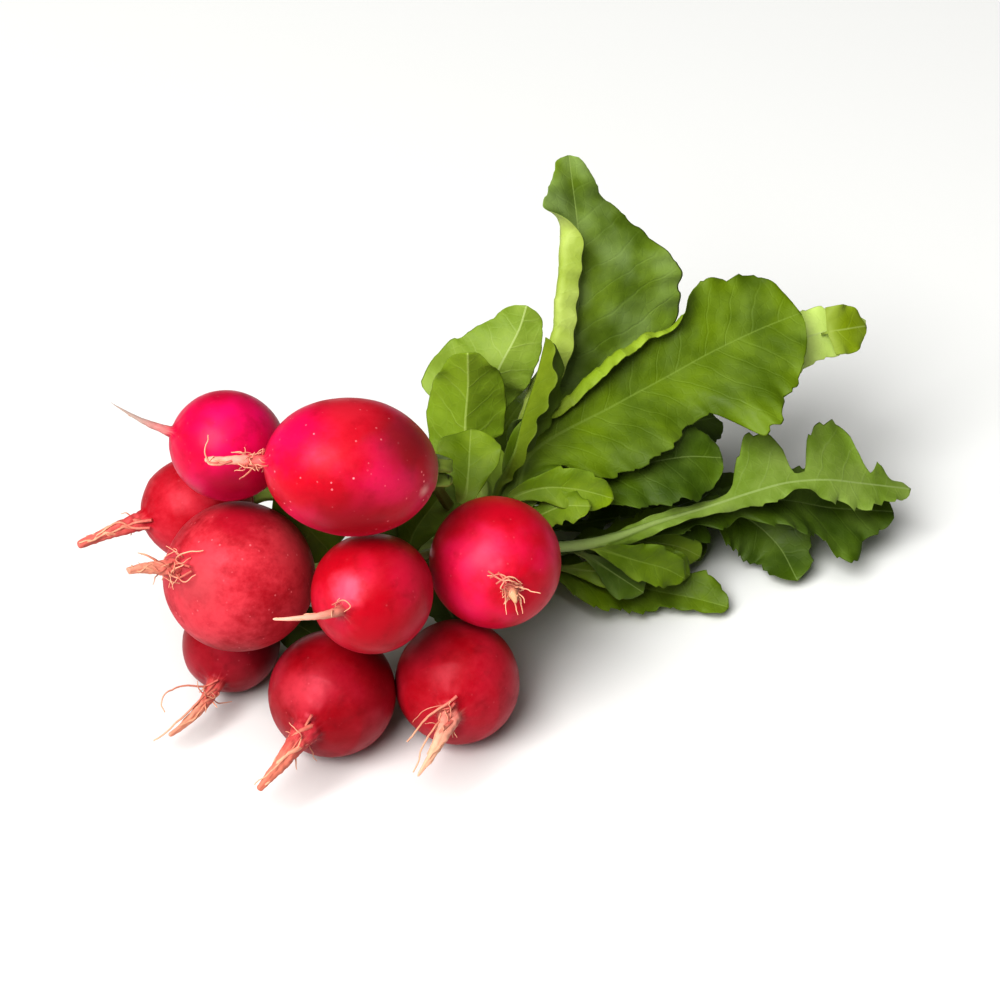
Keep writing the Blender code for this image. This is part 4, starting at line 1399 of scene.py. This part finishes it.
    def grown_along(self, path: Array, start: float) -> Skin:
        """The skin of a stem and blade that follow a path.

        Args:
            path: the centreline, from the foot of the stem to the tip of the blade.
            start: distance along it at which the blade begins.

        Returns:
            The closed skin.
        """
        length = lengths_along(path)[-1] - start
        stem = np.linspace(0.0, start, max(2, round(start / self.STEM_STEP)), endpoint=False)
        blade = np.linspace(0.0, length, round(length / self.BLADE_STEP))
        stations = np.concatenate([stem, start + blade])
        t = np.concatenate([np.zeros_like(stem), blade / length])
        points, tangents = at_lengths(path, stations)
        points[0] = points[0] - tangents[0] * self.SINK
        along = stations - start
        widths = np.zeros((len(stations), 2))
        widths[len(stem):] = self.half_widths(t[len(stem):], blade)
        # Narrow wings of blade run down the stem.
        wings = smooth_step(-self.wing, 0.0, along[: len(stem)])
        widths[: len(stem)] = widths[len(stem)] * wings[:, None]
        rib = self.RIB_TIP_RADIUS + (self.stem - self.RIB_TIP_RADIUS) * np.exp(-self.RIB_THINS * t)
        rib = rib * (1 + self.FOOT_SWELL * np.exp(-stations / self.FOOT_LENGTH))
        x, z, away, upper = self.section(t, along, widths, rib)

        facing = np.array(self.faces[0]) * (1 - t)[:, None] + np.array(self.faces[1]) * t[:, None]
        facing = square_to(facing, tangents)
        right = np.cross(tangents, facing)
        sweep = np.where(along > 0, self.VEIN_SWEEP * (1 - t), 0.0)
        rings = points[:, None] + right[:, None] * x[..., None] + facing[:, None] * z[..., None]
        rings = rings + tangents[:, None] * (sweep[:, None] * np.abs(x))[..., None]
        rings[..., 2] = np.maximum(rings[..., 2], self.LOWEST + self.LOWEST_THICKNESS * upper)
        full = np.ones_like(x)
        edge = np.where(away > 0, widths[:, 1:], widths[:, :1]) - np.abs(away)
        place = np.stack([away, along[:, None] * full, upper], -1)
        growth = np.stack([rib[:, None] * full, stations[:, None] * full, edge], -1)
        return Skin(rings, {"leaf_place": place, "leaf_growth": growth})

    def dress(self, box: tuple[Array, Array]) -> None:
        """Builds the leaf and seats it on its node.

        Args:
            box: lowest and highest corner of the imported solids.
        """
        piece = self.skin().to_object(f"{self.node}_blade", box)
        piece.data.materials.append(self.shade.value.material())
        seat(piece, self.node)


@dataclass(frozen=True)
class Leaflet:
    """A small blade beside a leaf: a young leaf at its foot, or a side leaflet of its stem.

    beside: the leaf's node. half_width: of the blade at its widest. route: foot, start of the
    blade, and on to its tip. faces: where its upper side looks. saw, cup, wing and stem are as a
    leaf's. ripple: height of the margin's waves. outline: share along the blade, and share of the
    half-width.
    """

    beside: str
    number: int
    shade: Shade
    half_width: float
    route: tuple[Triple, ...]
    faces: Triple = (-0.5, -0.6, 0.6)
    saw: tuple[float, float] = (4.0, 0.9)
    cup: float = 14.0
    ripple: float = 0.5
    wing: float = 3.0
    stem: float = 0.7
    outline: tuple[tuple[float, float], ...] = OVAL

    POINTS_PER_SPAN = 12
    WAVES = 1.6

    def dress(self, box: tuple[Array, Array]) -> None:
        """Builds the blade and seats it with its leaf.

        Args:
            box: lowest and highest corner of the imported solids.
        """
        leaf = next(leaf for leaf in LEAVES if leaf.node == self.beside)
        outline = tuple((t, *[share * self.half_width] * 2) for t, share in self.outline)
        small = replace(leaf, shade=self.shade, faces=(self.faces, self.faces), outline=outline,
                        cup=self.cup, roll=(0.0, 0.0), ruffle=(self.ripple, self.WAVES, 0.1 * self.number),
                        teeth=(0, 0.0), saw=self.saw, wing=self.wing, margin=(1.0, 1.0), stem=self.stem)
        path = smooth_path(self.route, self.POINTS_PER_SPAN)
        start = lengths_along(path)[self.POINTS_PER_SPAN]
        piece = small.grown_along(path, start).to_object(f"{self.beside}_leaflet_{self.number}", box)
        piece.data.materials.append(self.shade.value.material())
        seat(piece, self.beside)


@dataclass(frozen=True)
class Tie:
    """Rubber band wound three times round the stems, its last turn crossing back over.

    cross_share: share of the band in which it crosses back, rising by hump times its own radius.
    start_turn: where it begins, in radians round the stems.
    """

    node: str = "band"
    radius: float = 11.0
    turns: int = 3
    pitch: float = 1.55
    strand: float = 0.62
    cross_share: float = 0.14
    start_turn: float = 2.2
    hump: float = 1.1

    POINTS = 260

    def dress(self, sweep: StrandSweep, box: tuple[Array, Array]) -> None:
        """Builds the band and seats it on its node.

        Args:
            sweep: the tree that draws strands.
            box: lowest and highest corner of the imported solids.
        """
        s = np.linspace(0, 1, self.POINTS)
        half = self.pitch * (self.turns - 1) / 2
        back = smooth_step(1 - self.cross_share, 1.0, s)
        across = -half + 2 * half * np.minimum(s / (1 - self.cross_share), 1.0)
        across = across * (1 - back) - half * back
        lift = np.sin(math.pi * np.clip((s - 1 + self.cross_share) / self.cross_share, 0, 1))
        radius = self.radius + self.hump * self.strand * lift
        turn = 2 * math.pi * self.turns * s + self.start_turn
        line = NECK + np.stack([across, radius * np.cos(turn), radius * np.sin(turn)], 1)
        piece = sweep.sweep(self.node + "_wound", [(line, np.full(len(s), self.strand))],
                            TieRubber("natural_rubber"), {"Sides": 10, "Wander": 0.0}, box)
        seat(piece, self.node)


@dataclass(frozen=True)
class Studio:
    """Pale floor, soft lights and the camera that looks as the photograph does."""

    lens: float = 91.9
    sensor: float = 36.0
    gamma: float = 0.8
    key_from: Triple = (-0.65, -0.2, 0.73)
    key_size: float = 2.0
    key_power: float = 150.0
    top_from: Triple = (-0.3, -0.1, 0.95)
    top_size: float = 3.0
    top_power: float = 60.0
    light_distance: float = 3.0
    world: float = 0.1
    floor_reach: float = 6.0

    def light(self, name: str, place: Triple, size: float, power: float) -> None:
        """Adds one square soft light that looks at the bunch.

        Args:
            name: the light's name.
            place: the direction it stands in.
            size: its side, in metres.
            power: its power, in watts.
        """
        lamp = bpy.data.lights.new(name, "AREA")
        lamp.shape = "SQUARE"
        lamp.size = size
        lamp.energy = power
        holder = bpy.data.objects.new(name, lamp)
        toward = Vector(place).normalized()
        holder.location = toward * self.light_distance
        holder.rotation_euler = toward.to_track_quat("Z", "Y").to_euler()
        bpy.context.scene.collection.objects.link(holder)

    def set_up(self) -> None:
        """Adds the floor, the lights, the pale surroundings and the camera."""
        mesh = bpy.data.meshes.new("floor")
        side = self.floor_reach
        spots = [(-side, -side, 0), (side, -side, 0), (side, side, 0), (-side, side, 0)]
        mesh.from_pydata(spots, [], [(0, 1, 2, 3)])
        mesh.materials.append(PaleBoard("matt_white_board").material())
        floor = bpy.data.objects.new("floor", mesh)
        bpy.context.scene.collection.objects.link(floor)
        floor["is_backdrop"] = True
        self.light("window", self.key_from, self.key_size, self.key_power)
        self.light("overhead", self.top_from, self.top_size, self.top_power)
        sky = bpy.data.worlds.new("studio")
        sky.use_nodes = True
        background = sky.node_tree.nodes["Background"]
        background.inputs["Color"].default_value = (1.0, 1.0, 1.0, 1.0)
        background.inputs["Strength"].default_value = self.world
        bpy.context.scene.world = sky

        lens = bpy.data.cameras.new("camera")
        lens.lens = self.lens
        lens.sensor_width = self.sensor
        camera = bpy.data.objects.new("camera", lens)
        camera.location = (EYE - CENTRE) * MM
        camera.rotation_euler = Vector(LOOK).to_track_quat("-Z", "Y").to_euler()
        bpy.context.scene.collection.objects.link(camera)
        bpy.context.scene.camera = camera
        view = bpy.context.scene.view_settings
        view.view_transform = "Standard"
        view.gamma = self.gamma


ROOTS = (
    Radish("radish_01", (-62.8, 16.3, 70.2), 150, 23, 12.7, 12.0, 15, 0.95, 25, SKYWARD, 0,
           RootSkin("skin_01", "#bd0540", "#d20664", "#98042a", 0.05, 0.1, "#c98280", "#b9a79c", 1.0,
                    # A darker patch on the front, low down: painted shade.
                    marks_and_painted_light=(((-69.8, 7.0, 67.3), 9.0, "#930226", 0.8),)),
           wraps=(1, 0.3), tangle=(0, 0), crease=0.08, tip_share=0.05),
    Radish("radish_02", (-49.5, -11.8, 75.0), 152, 12, 18.7, 14.7, 12, 1.15, 12, BACKWARD, 3,
           RootSkin("skin_02", "#b50524", "#cc0b55", "#950519", 0.2, 0.9, "#d8706c", "#e0a08c", 2.0, (
               # Marks: a darker brownish patch on the upper right, a pale scar, a magenta patch on the
               # upper left, painted light on the top, and painted shade on the lower front.
               ((-42.3, -21.7, 84.7), 11.0, "#7c2228", 0.75), ((-41.0, -26.7, 73.8), 2.2, "#d99a94", 0.8),
               ((-60.9, -6.5, 86.9), 12.0, "#d40d62", 0.6),
               ((-49.1, -11.7, 89.8), 9.0, "#c42a3c", 0.7), ((-58.0, -23.2, 71.4), 13.0, "#860112", 0.8),
           )),
           wraps=(2, 0.3), tangle=(26, 3.6), crease=0.12, tip_share=0.55, hairs=(
               (0.24, ((218, 463), (210, 463), (206, 455), (206, 446), (208, 435))),
               (0.3, ((232, 461), (218, 465), (208, 463), (213, 457))),
           )),
    Radish("radish_03", (-60.9, 35.6, 40.2), 171, 5, 12.9, 11.5, 16, 1.85, 15, DOWN, 1,
           RootSkin("skin_03", "#a10a1f", "#ab172f", "#830815", 0.35, 0.1, "#b4484a", "#c46c62", 3.0),
           wraps=(4, 0.9), tangle=(3, 4.0), crease=0.3, tip_share=0.5, hairs=(
               (0.4, ((152, 520), (135, 523), (118, 530), (100, 536), (80, 543))),
               (0.36, ((150, 528), (132, 528), (120, 523), (104, 530), (88, 542))),
           )),
    Radish("radish_04", (-67.6, 7.5, 41.2), 173, 31, 16.9, 16.6, 12, 1.7, 20, DOWN, 5,
           RootSkin("skin_04", "#9d1222", "#ab1d30", "#7c0b17", 0.75, 0.35, "#c4645e", "#d6957f", 4.0,
                    # Marks: a dull dusty patch on the left, and a lighter patch on the top that is painted
                    # light.
                    marks_and_painted_light=(((-81.7, 2.8, 49.2), 9.0, "#94484a", 0.5),
                           ((-66.1, 7.9, 57.8), 9.0, "#b01c38", 0.6))),
           wraps=(3, 0.7), tangle=(14, 4.5), crease=0.2, tip_share=0.45, hairs=(
               (0.28, ((190, 567), (176, 561), (182, 554), (203, 551))),
               (0.26, ((192, 571), (178, 578), (171, 574), (183, 564))),
               (0.3, ((172, 562), (160, 572), (150, 565), (140, 572), (133, 566))),
               (0.2, ((176, 574), (184, 582), (195, 575))),
           )),
    Radish("radish_05", (-51.2, -20.5, 46.5), -154, 22, 14.2, 13.1, 16, 1.0, 75, BACKWARD, 1,
           RootSkin("skin_05", "#ab0620", "#be0f3b", "#870414", 0.15, 0.1, "#c98575", "#dba995", 5.0,
                    # A pale pink patch at the upper left: a painted highlight.
                    marks_and_painted_light=(((-61.2, -24.8, 55.5), 5.5, "#e0607a", 0.6),)),
           wraps=(2, 0.3), tangle=(2, 3.0), crease=0.15, tip_share=0.3, hairs=(
               (0.2, ((332, 605), (344, 600), (351, 606), (344, 612))),
           )),
    Radish("radish_06", (-19.3, -22.9, 40.7), -114, 16, 14.8, 14.8, 4, 1.3, 30, DOWN, 6,
           RootSkin("skin_06", "#bd0729", "#d00e54", "#9a051a", 0.15, 0.15, "#c9706a", "#c99a78", 6.0,
                    # A broad pink patch at the upper left: a painted highlight.
                    marks_and_painted_light=(((-27.8, -30.2, 50.3), 9.0, "#d93f66", 0.5),)),
           wraps=(3, 0.8), tangle=(34, 2.1), crease=0.2, hairs=(
               (0.24, ((505, 583), (520, 587), (541, 594))),
               (0.2, ((504, 585), (506, 598), (506, 615))),
               (0.24, ((507, 583), (496, 577), (487, 575))),
               (0.26, ((488, 571), (495, 576), (503, 580), (512, 581), (521, 583))),
               (0.24, ((490, 578), (499, 574), (508, 578), (516, 586), (524, 587))),
               (0.24, ((496, 584), (505, 578), (513, 577), (521, 582))),
               (0.26, ((498, 572), (504, 580), (500, 588), (509, 592))),
           )),
    Radish("radish_07", (-63.6, 20.3, 11.3), -141, -10, 12.1, 11.1, 18, 1.7, 35, BACKWARD, 4,
           RootSkin("skin_07", "#830416", "#8d0a23", "#66030d", 0.15, 0.1, "#b85250", "#cf937c", 7.0),
           wraps=(4, 0.6), tangle=(7, 6.0), crease=0.25, hairs=(
               (0.26, ((218, 680), (205, 686), (185, 686), (168, 692), (161, 703), (166, 713))),
               (0.36, ((216, 682), (200, 700), (178, 722), (150, 745))),
               (0.24, ((214, 690), (205, 705), (192, 720))),
           )),
    Radish("radish_08", (-56.6, -11.3, 14.1), -148, 6, 14.6, 13.7, 18, 2.6, 55, SIDEWARD, 2,
           RootSkin("skin_08", "#8c0416", "#99082a", "#6a030d", 0.15, 0.1, "#ad3440", "#c67a66", 8.0,
                    # A pink patch at the left: a painted highlight.
                    marks_and_painted_light=(((-67.8, -14.7, 22.4), 6.5, "#c24452", 0.6),)),
           wraps=(4, 0.5), tangle=(4, 5.0), crease=0.22, hairs=(
               (0.34, ((312, 715), (305, 727), (299, 744), (289, 755))),
               (0.3, ((300, 738), (290, 752), (272, 770), (255, 784))),
           )),
    Radish("radish_09", (-32.0, -25.3, 13.8), -134, 10, 14.3, 13.8, 17, 2.2, 60, SIDEWARD, 4,
           RootSkin("skin_09", "#9e051b", "#aa0f2d", "#780412", 0.2, 0.1, "#c98376", "#dcab90", 9.0,
                    # A lighter red patch at the upper left: a painted highlight.
                    marks_and_painted_light=(((-39.6, -23.4, 25.2), 8.0, "#c22a40", 0.65),)),
           wraps=(4, 0.4), tangle=(6, 4.0), crease=0.22, tip_share=0.15, hairs=(
               (0.4, ((457, 696), (446, 705), (430, 715), (418, 728), (408, 742))),
               (0.34, ((455, 703), (444, 716), (434, 728), (424, 745), (414, 772))),
               (0.24, ((450, 708), (436, 712), (424, 722))),
               (0.16, ((443, 705), (425, 710), (412, 722))),
           )),
)

LEAVES = (
    Leaf(
        "leaf_tall", "radish_04", (0, 1), (1, 0), Shade.TALL,
        ((6, 8, 32), (27, 17, 42), (35, 17, 56), (43, 24, 72), (53, 41, 90)),
        ((0.0, -0.85, 0.5), (0.0, -0.85, 0.5)),
        (
            (0, 1.6, 1.6), (0.12, 6, 5), (0.3, 13, 12), (0.45, 14, 22), (0.55, 14, 28), (0.62, 14, 28),
            (0.7, 13, 24), (0.8, 11, 15), (0.9, 7, 8), (0.97, 4.2, 4.2), (1, 0, 0),
        ),
        roll=(155, 0), roll_span=(0.1, 0.84), teeth=(7, 0.7), saw=(5.0, 0.4), cup=7.0,
    ),
    Leaf(
        "leaf_broad", "radish_02", (0, -1), (2, -1), Shade.BROAD,
        ((4, -1, 36), (11, 3, 41), (36, 1, 46), (50, -1, 49), (62, -3, 52), (75, -6, 55), (86, -9, 57)),
        ((-0.35, -0.5, 0.8), (-0.3, -0.45, 0.85)),
        (
            (0, 4, 6), (0.1, 6, 10), (0.2, 9, 15), (0.28, 14, 17), (0.34, 17, 17), (0.46, 20, 16),
            (0.52, 21, 13), (0.6, 20, 15), (0.67, 17, 26), (0.72, 16, 26), (0.77, 16, 22),
            (0.84, 15, 19), (0.92, 13, 14), (0.98, 9, 8), (1, 0, 0),
        ),
        roll=(155, -15), roll_span=(0.12, 0.74), teeth=(9, 0.7), rise=3.0, saw=(5.5, 0.8),
        margin=(0.95, 0.65), via=((-26, -9.5, 58.5),),
    ),
    Leaf(
        "leaf_folded", "radish_02", (0, 1), (2, 0), Shade.FOLDED,
        ((1, 1, 38.5), (5, 1, 46), (11, 5, 52), (18, 9, 58), (24, 13, 64)),
        ((0.8, -0.6, 0.0), (0.8, -0.6, 0.0)),
        ((0, 1.6, 1.6), (0.2, 3, 4), (0.4, 5.5, 7), (0.7, 6, 8.5), (0.88, 4, 7), (1, 0, 0)),
        cup=50, ruffle=(0.35, 2, 0), teeth=(4, 0.3), saw=(4.0, 0.3), rise=3.0, via=((-25, -5.5, 61.5),),
    ),
    Leaf(
        "leaf_hood", "radish_01", (0, 1), (2, 1), Shade.YOUNG,
        ((0.5, 7, 35), (-1, 11, 41), (1, 14.5, 48), (3, 16, 57), (3, 16, 67)),
        AWAY_FROM_FRONT,
        (
            (0, 8.5, 8.5), (0.2, 9.3, 9.3), (0.42, 10.3, 10.3), (0.6, 9.8, 9.8), (0.76, 7.9, 7.9),
            (0.87, 5.8, 5.8), (0.95, 3.4, 3.4), (1, 0, 0),
        ),
        cup=25, ruffle=(0.5, 2, 0), teeth=(4, 0.2), saw=(4.0, 0.2), wing=26.0,
    ),
    Leaf(
        "leaf_left", "radish_01", (0, -1), (1, 1), Shade.PALE,
        ((4, 13, 34), (13, 22, 46), (16, 21, 54), (23, 22, 62), (26, 23, 67)),
        AWAY_FROM_FRONT,
        (
            (0, 1.6, 1.6), (0.25, 4, 8), (0.37, 6, 16.5), (0.5, 8, 14.5), (0.68, 8, 11),
            (0.86, 6, 7), (1, 0, 0),
        ),
        ruffle=(0.3, 2, 0), teeth=(5, 0.2), saw=(4.0, 0.2),
    ),
    Leaf(
        "leaf_far", "radish_05", (1, 1), (1, -1), Shade.FAR,
        ((8, 1, 31), (35, 6, 36), (61, 1, 42), (78, -4, 46), (88, -8, 48), (97, -11, 49), (105, -13, 49)),
        ((-0.2, 0.2, 0.9), (0.2, 0.5, -0.8)),
        (
            (0, 1.6, 1.6), (0.3, 5, 5), (0.5, 8, 8), (0.7, 12, 9), (0.82, 7, 7), (0.9, 6.3, 6.6),
            (0.96, 4.4, 4.2), (1, 0, 0),
        ),
        ruffle=(0.5, 3, 0), teeth=(9, 0.3), rise=1.5, via=((-32.5, -9.5, 40),),
    ),
    Leaf(
        "leaf_small", "radish_06", (-1, 1), (1, -2), Shade.YOUNG,
        ((1, -6.2, 30.5), (5, -9, 33.5), (9, -12, 36), (14, -16.5, 36.5)),
        TOWARDS_FRONT,
        ((0, 1.6, 1.6), (0.3, 3, 3.5), (0.6, 3.5, 5), (0.85, 3, 4), (1, 0, 0)),
        ruffle=(0.5, 2, 0), teeth=(5, 0.6), rise=3.0, via=((-11, -8, 33),),
    ),
    Leaf(
        "leaf_lobed_high", "radish_06", (1, -1), (0, -2), Shade.GREY,
        (
            (17, -16, 24), (33, -20, 25), (46, -24, 26), (56, -27, 27), (65, -30, 27.5), (74, -34, 26.5),
            (83, -37, 23), (97, -41, 17),
        ),
        ((0.3, 0.4, -0.85), (0.3, 0.4, -0.85)),
        (
            (0, 1.3, 1.3), (0.12, 2.5, 2), (0.3, 2, 2), (0.4, 2.5, 2), (0.45, 3, 9), (0.5, 4, 15),
            (0.55, 3.5, 15.5), (0.585, 2.5, 11), (0.61, 2, 2.2), (0.64, 2.5, 3), (0.67, 4, 13),
            (0.72, 5, 18), (0.78, 6, 18), (0.82, 6, 13), (0.86, 5.5, 4), (0.9, 5, 6),
            (0.94, 3.5, 2.5), (1, 0, 0),
        ),
        rise=3.0, via=((-14.5, -8.5, 29),), saw=(4.5, 1.6),
    ),
    Leaf(
        "leaf_under", "radish_05", (0.6, -0.9), (0, -1), Shade.DARK_PAINTED_SHADE,
        ((6, -4, 27), (16, -5, 31), (32, -9, 34.5), (45, -14, 35), (54, -18, 33)),
        ((-0.3, -0.5, 0.8), (-0.3, -0.5, 0.8)),
        ((0, 1.4, 1.4), (0.25, 5, 5), (0.5, 9, 11), (0.75, 9, 12), (0.92, 6, 9), (1, 0, 0)),
        teeth=(6, 0.6), rise=1.5, via=((-32.5, -9.8, 36),),
    ),
    Leaf(
        "leaf_lobed_low", "radish_09", (-0.5, 1.1), (-1, -2), Shade.DARK_PAINTED_SHADE,
        (
            (6, -8, 21), (21, -13, 20), (35, -17, 19.5), (52, -21.5, 19.5), (67, -25, 18), (80, -31, 13),
            (94, -39, 10),
        ),
        TOWARDS_FRONT,
        (
            (0, 1.3, 1.3), (0.3, 2, 2), (0.36, 4, 3.5), (0.42, 2, 2), (0.48, 4.5, 5), (0.54, 2.2, 2.5),
            (0.6, 5, 7), (0.68, 8, 10), (0.75, 8.5, 10), (0.8, 9, 14), (0.86, 8.5, 16),
            (0.9, 8, 10), (0.95, 6.5, 6), (1, 0, 0),
        ),
        saw=(4.5, 1.4),
    ),
    Leaf(
        "leaf_oval", "radish_08", (0, 1), (-1, -1), Shade.DARK_PAINTED_SHADE,
        (
            (6, -4, 20), (22.5, -10, 16.5), (38.5, -13, 16), (55, -14, 14.5), (62.5, -19, 11), (66, -27, 6),
            (63, -38, 3),
        ),
        ((-0.25, -0.35, 0.9), (-0.5, -0.6, 0.7)),
        (
            (0, 1.3, 1.3), (0.3, 1.8, 1.8), (0.42, 2, 2), (0.47, 3, 7), (0.53, 3, 8.5), (0.58, 2.5, 3),
            (0.64, 6, 9), (0.74, 9.5, 9.5), (0.84, 9.5, 8.5), (0.93, 6.5, 6), (1, 0, 0),
        ),
        saw=(4.0, 1.0),
    ),
    Leaf(
        "leaf_short", "radish_08", (0, -1), (-2, 0), Shade.BROAD,
        ((5, 0.5, 15.5), (16, -1, 13), (36, -9, 11), (44, -10, 9), (48.5, -14, 5), (49, -18, 3.5)),
        TOWARDS_FRONT,
        (
            (0, 1.3, 1.3), (0.3, 2, 2), (0.38, 4, 6), (0.46, 3, 3), (0.54, 7, 6), (0.62, 6, 4.5),
            (0.75, 7, 6), (0.92, 5, 5), (1, 0, 0),
        ),
        saw=(4.0, 1.0),
    ),
    Leaf(
        "leaf_ground", "radish_09", (0.5, -1.1), (-2, -1), Shade.BROAD,
        ((4, -4, 15), (12, -5, 12), (24, -13.5, 7), (31, -20, 4.5), (38, -28, 3.5), (43, -35, 2.7)),
        TOWARDS_FRONT,
        (
            (0, 1.3, 1.3), (0.14, 2, 3), (0.24, 4, 8), (0.32, 2.5, 9), (0.42, 6, 9), (0.5, 4, 8),
            (0.6, 7, 7), (0.7, 5.5, 5), (0.83, 7, 3.5), (0.93, 5, 3), (1, 0, 0),
        ),
        ruffle=(0.4, 3, 0), saw=(4.5, 1.2),
    ),
    Leaf(
        "leaf_middle", "radish_04", (0, -1), (0, 0), Shade.DARK_PAINTED_SHADE,
        ((6, 4, 26), (30, 4, 27), (56, 10, 24), (78, 10, 18)),
        TOWARDS_FRONT, SPOON, teeth=(8, 0.6),
    ),
    Leaf(
        "leaf_back_1", "radish_03", (-1, 0), (0, 1), Shade.BROAD,
        ((6, 7.5, 26), (28, 16.7, 27), (55, 27, 23), (80, 36, 12)),
        TOWARDS_FRONT, SPOON, teeth=(8, 0.6),
    ),
    Leaf(
        "leaf_back_2", "radish_03", (1, 0), (0, 2), Shade.BROAD,
        ((6, 16, 26), (20, 27, 27), (40, 41, 23), (56, 54, 11)),
        TOWARDS_FRONT, SPOON, teeth=(7, 0.6),
    ),
    Leaf(
        "leaf_back_3", "radish_07", (-1.3, 0.5), (-1, 0), Shade.DARK_PAINTED_SHADE,
        ((14, 4, 16), (32, 3, 11), (56, -2, 6), (80, -6, 3.5)),
        LEVEL, LYRE, rise=2.5, via=((-34, 17, 17),),
    ),
    Leaf(
        "leaf_back_4", "radish_07", (1.3, 1), (-1, 1), Shade.TALL,
        ((5, 9, 20), (25, 18, 17), (48, 31, 11), (68, 42, 5)),
        LEVEL, SPOON, teeth=(7, 0.6), rise=2.5, via=((-32, 22, 18),),
    ),
    Leaf(
        "leaf_back_5", "radish_07", (0, -1), (-2, 1), Shade.DARK_PAINTED_SHADE,
        ((4, 6, 15), (20, 13, 9), (40, 19, 4.5), (58, 22, 3)),
        LEVEL, LYRE, rise=2.5, via=((-33, 19, 12.5),),
    ),
)

LEAFLETS = (
    # Young leaves round the crowns.
    Leaflet("leaf_left", 1, Shade.BROAD, 8.5,
            ((-52.6, 10.5, 64.5), (-52, 11.5, 57), (-49.5, 10.5, 48), (-46, 9, 41), (-42.5, 8, 35))),
    Leaflet("leaf_under", 1, Shade.BROAD, 8.2,
            ((-38.5, -14, 41.5), (-34, -9.8, 42.5), (-28.8, -5.6, 43.5), (-21.5, -2.8, 45.5),
             (-12.2, -0.5, 49.8)), saw=(4.0, 0.3)),
    Leaflet("leaf_under", 2, Shade.DARK_PAINTED_SHADE, 6.0,
            ((-39.5, -13.5, 42), (-38.5, -9, 43), (-37, -4, 43.5), (-36.5, 0, 43.5), (-37.5, 3.5, 43))),
    Leaflet("leaf_broad", 1, Shade.YOUNG, 5.0,
            ((-0.6, -2, 34.6), (1, -4, 38), (7, -7, 39.5), (14, -11.5, 38.5), (21, -16.5, 35.5)),
            saw=(4.5, 1.3)),
    Leaflet("leaf_broad", 2, Shade.YOUNG, 7.4,
            ((-17.5, -5.2, 44.4), (-15.7, -6.8, 47.2), (-12, -3.6, 50.8), (-8.4, 0.5, 53.5),
             (-5.2, 4.2, 55.6)), saw=(4.0, 0.1), cup=10.0),
    # The tip of the far leaf turns over and shows its upper side.
    Leaflet("leaf_far", 1, Shade.FAR, 6.2,
            ((93, -11, 49.2), (93.8, -12.2, 50.1), (97.3, -13.6, 50), (101.1, -14.1, 49.3),
             (104.2, -14.2, 48.4)),
            saw=(4.0, 0.1), cup=1.0, ripple=0.1, wing=0.6, stem=0.26, outline=TONGUE),
    # Side leaflets on the low stems.
    Leaflet("leaf_lobed_high", 1, Shade.BROAD, 5.0,
            ((14, -14.8, 24), (17, -17, 22.5), (24, -21.5, 18.5), (31, -25, 14.5), (35, -27.5, 11))),
    Leaflet("leaf_lobed_low", 1, Shade.DARK_PAINTED_SHADE, 4.6,
            ((14, -11, 20), (17, -14, 17.5), (21, -19, 13.5), (25, -24, 9.5))),
    Leaflet("leaf_oval", 1, Shade.BROAD, 4.5,
            ((24, -10.5, 16.5), (28, -14.5, 15), (33.5, -20, 12), (39, -25, 8.5))),
    Leaflet("leaf_short", 1, Shade.YOUNG, 5.0,
            ((26, -5.5, 12), (31, -9.5, 12.5), (37.5, -13.5, 12), (43, -17, 10), (47, -20, 7))),
    Leaflet("leaf_ground", 1, Shade.YOUNG, 3.8,
            ((11, -5, 12.5), (14.5, -9, 12.5), (20, -14, 12), (26, -18.5, 11))),
    # Young leaves between the low roots.
    Leaflet("leaf_ground", 2, Shade.DARK_PAINTED_SHADE, 6.5,
            ((-22.7, -15.7, 11.4), (-21.5, -12.5, 13.5), (-21, -7, 17.5), (-21.5, -1.5, 21.5),
             (-23, 3.5, 26)), faces=(-0.6, -0.7, 0.4)),
    Leaflet("leaf_back_5", 1, Shade.DARK_PAINTED_SHADE, 5.5,
            ((-54.3, 27.8, 13.4), (-52.5, 24.5, 13), (-50, 20.5, 12), (-47.5, 15.5, 10.5),
             (-45.5, 10.5, 9))),
)


def corners(box: tuple[Vector, Vector]) -> list[list[float]]:
    """A box's two corners, lowest and highest, as plain lists."""
    return [list(corner) for corner in box]


def main() -> None:
    """Sets up the studio and dresses every node of the bunch."""
    logging.basicConfig(level=logging.INFO, format="%(name)s %(message)s")
    cad_box = corners(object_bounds())
    box = tuple(np.array(corner) for corner in cad_box)
    Studio().set_up()
    sweep = StrandSweep()
    for seed, radish in enumerate(ROOTS):
        radish.dress(seed, sweep, box)
    for leaf in (*LEAVES, *LEAFLETS):
        leaf.dress(box)
    Tie().dress(sweep, box)


if __name__ == "__main__":
    main()
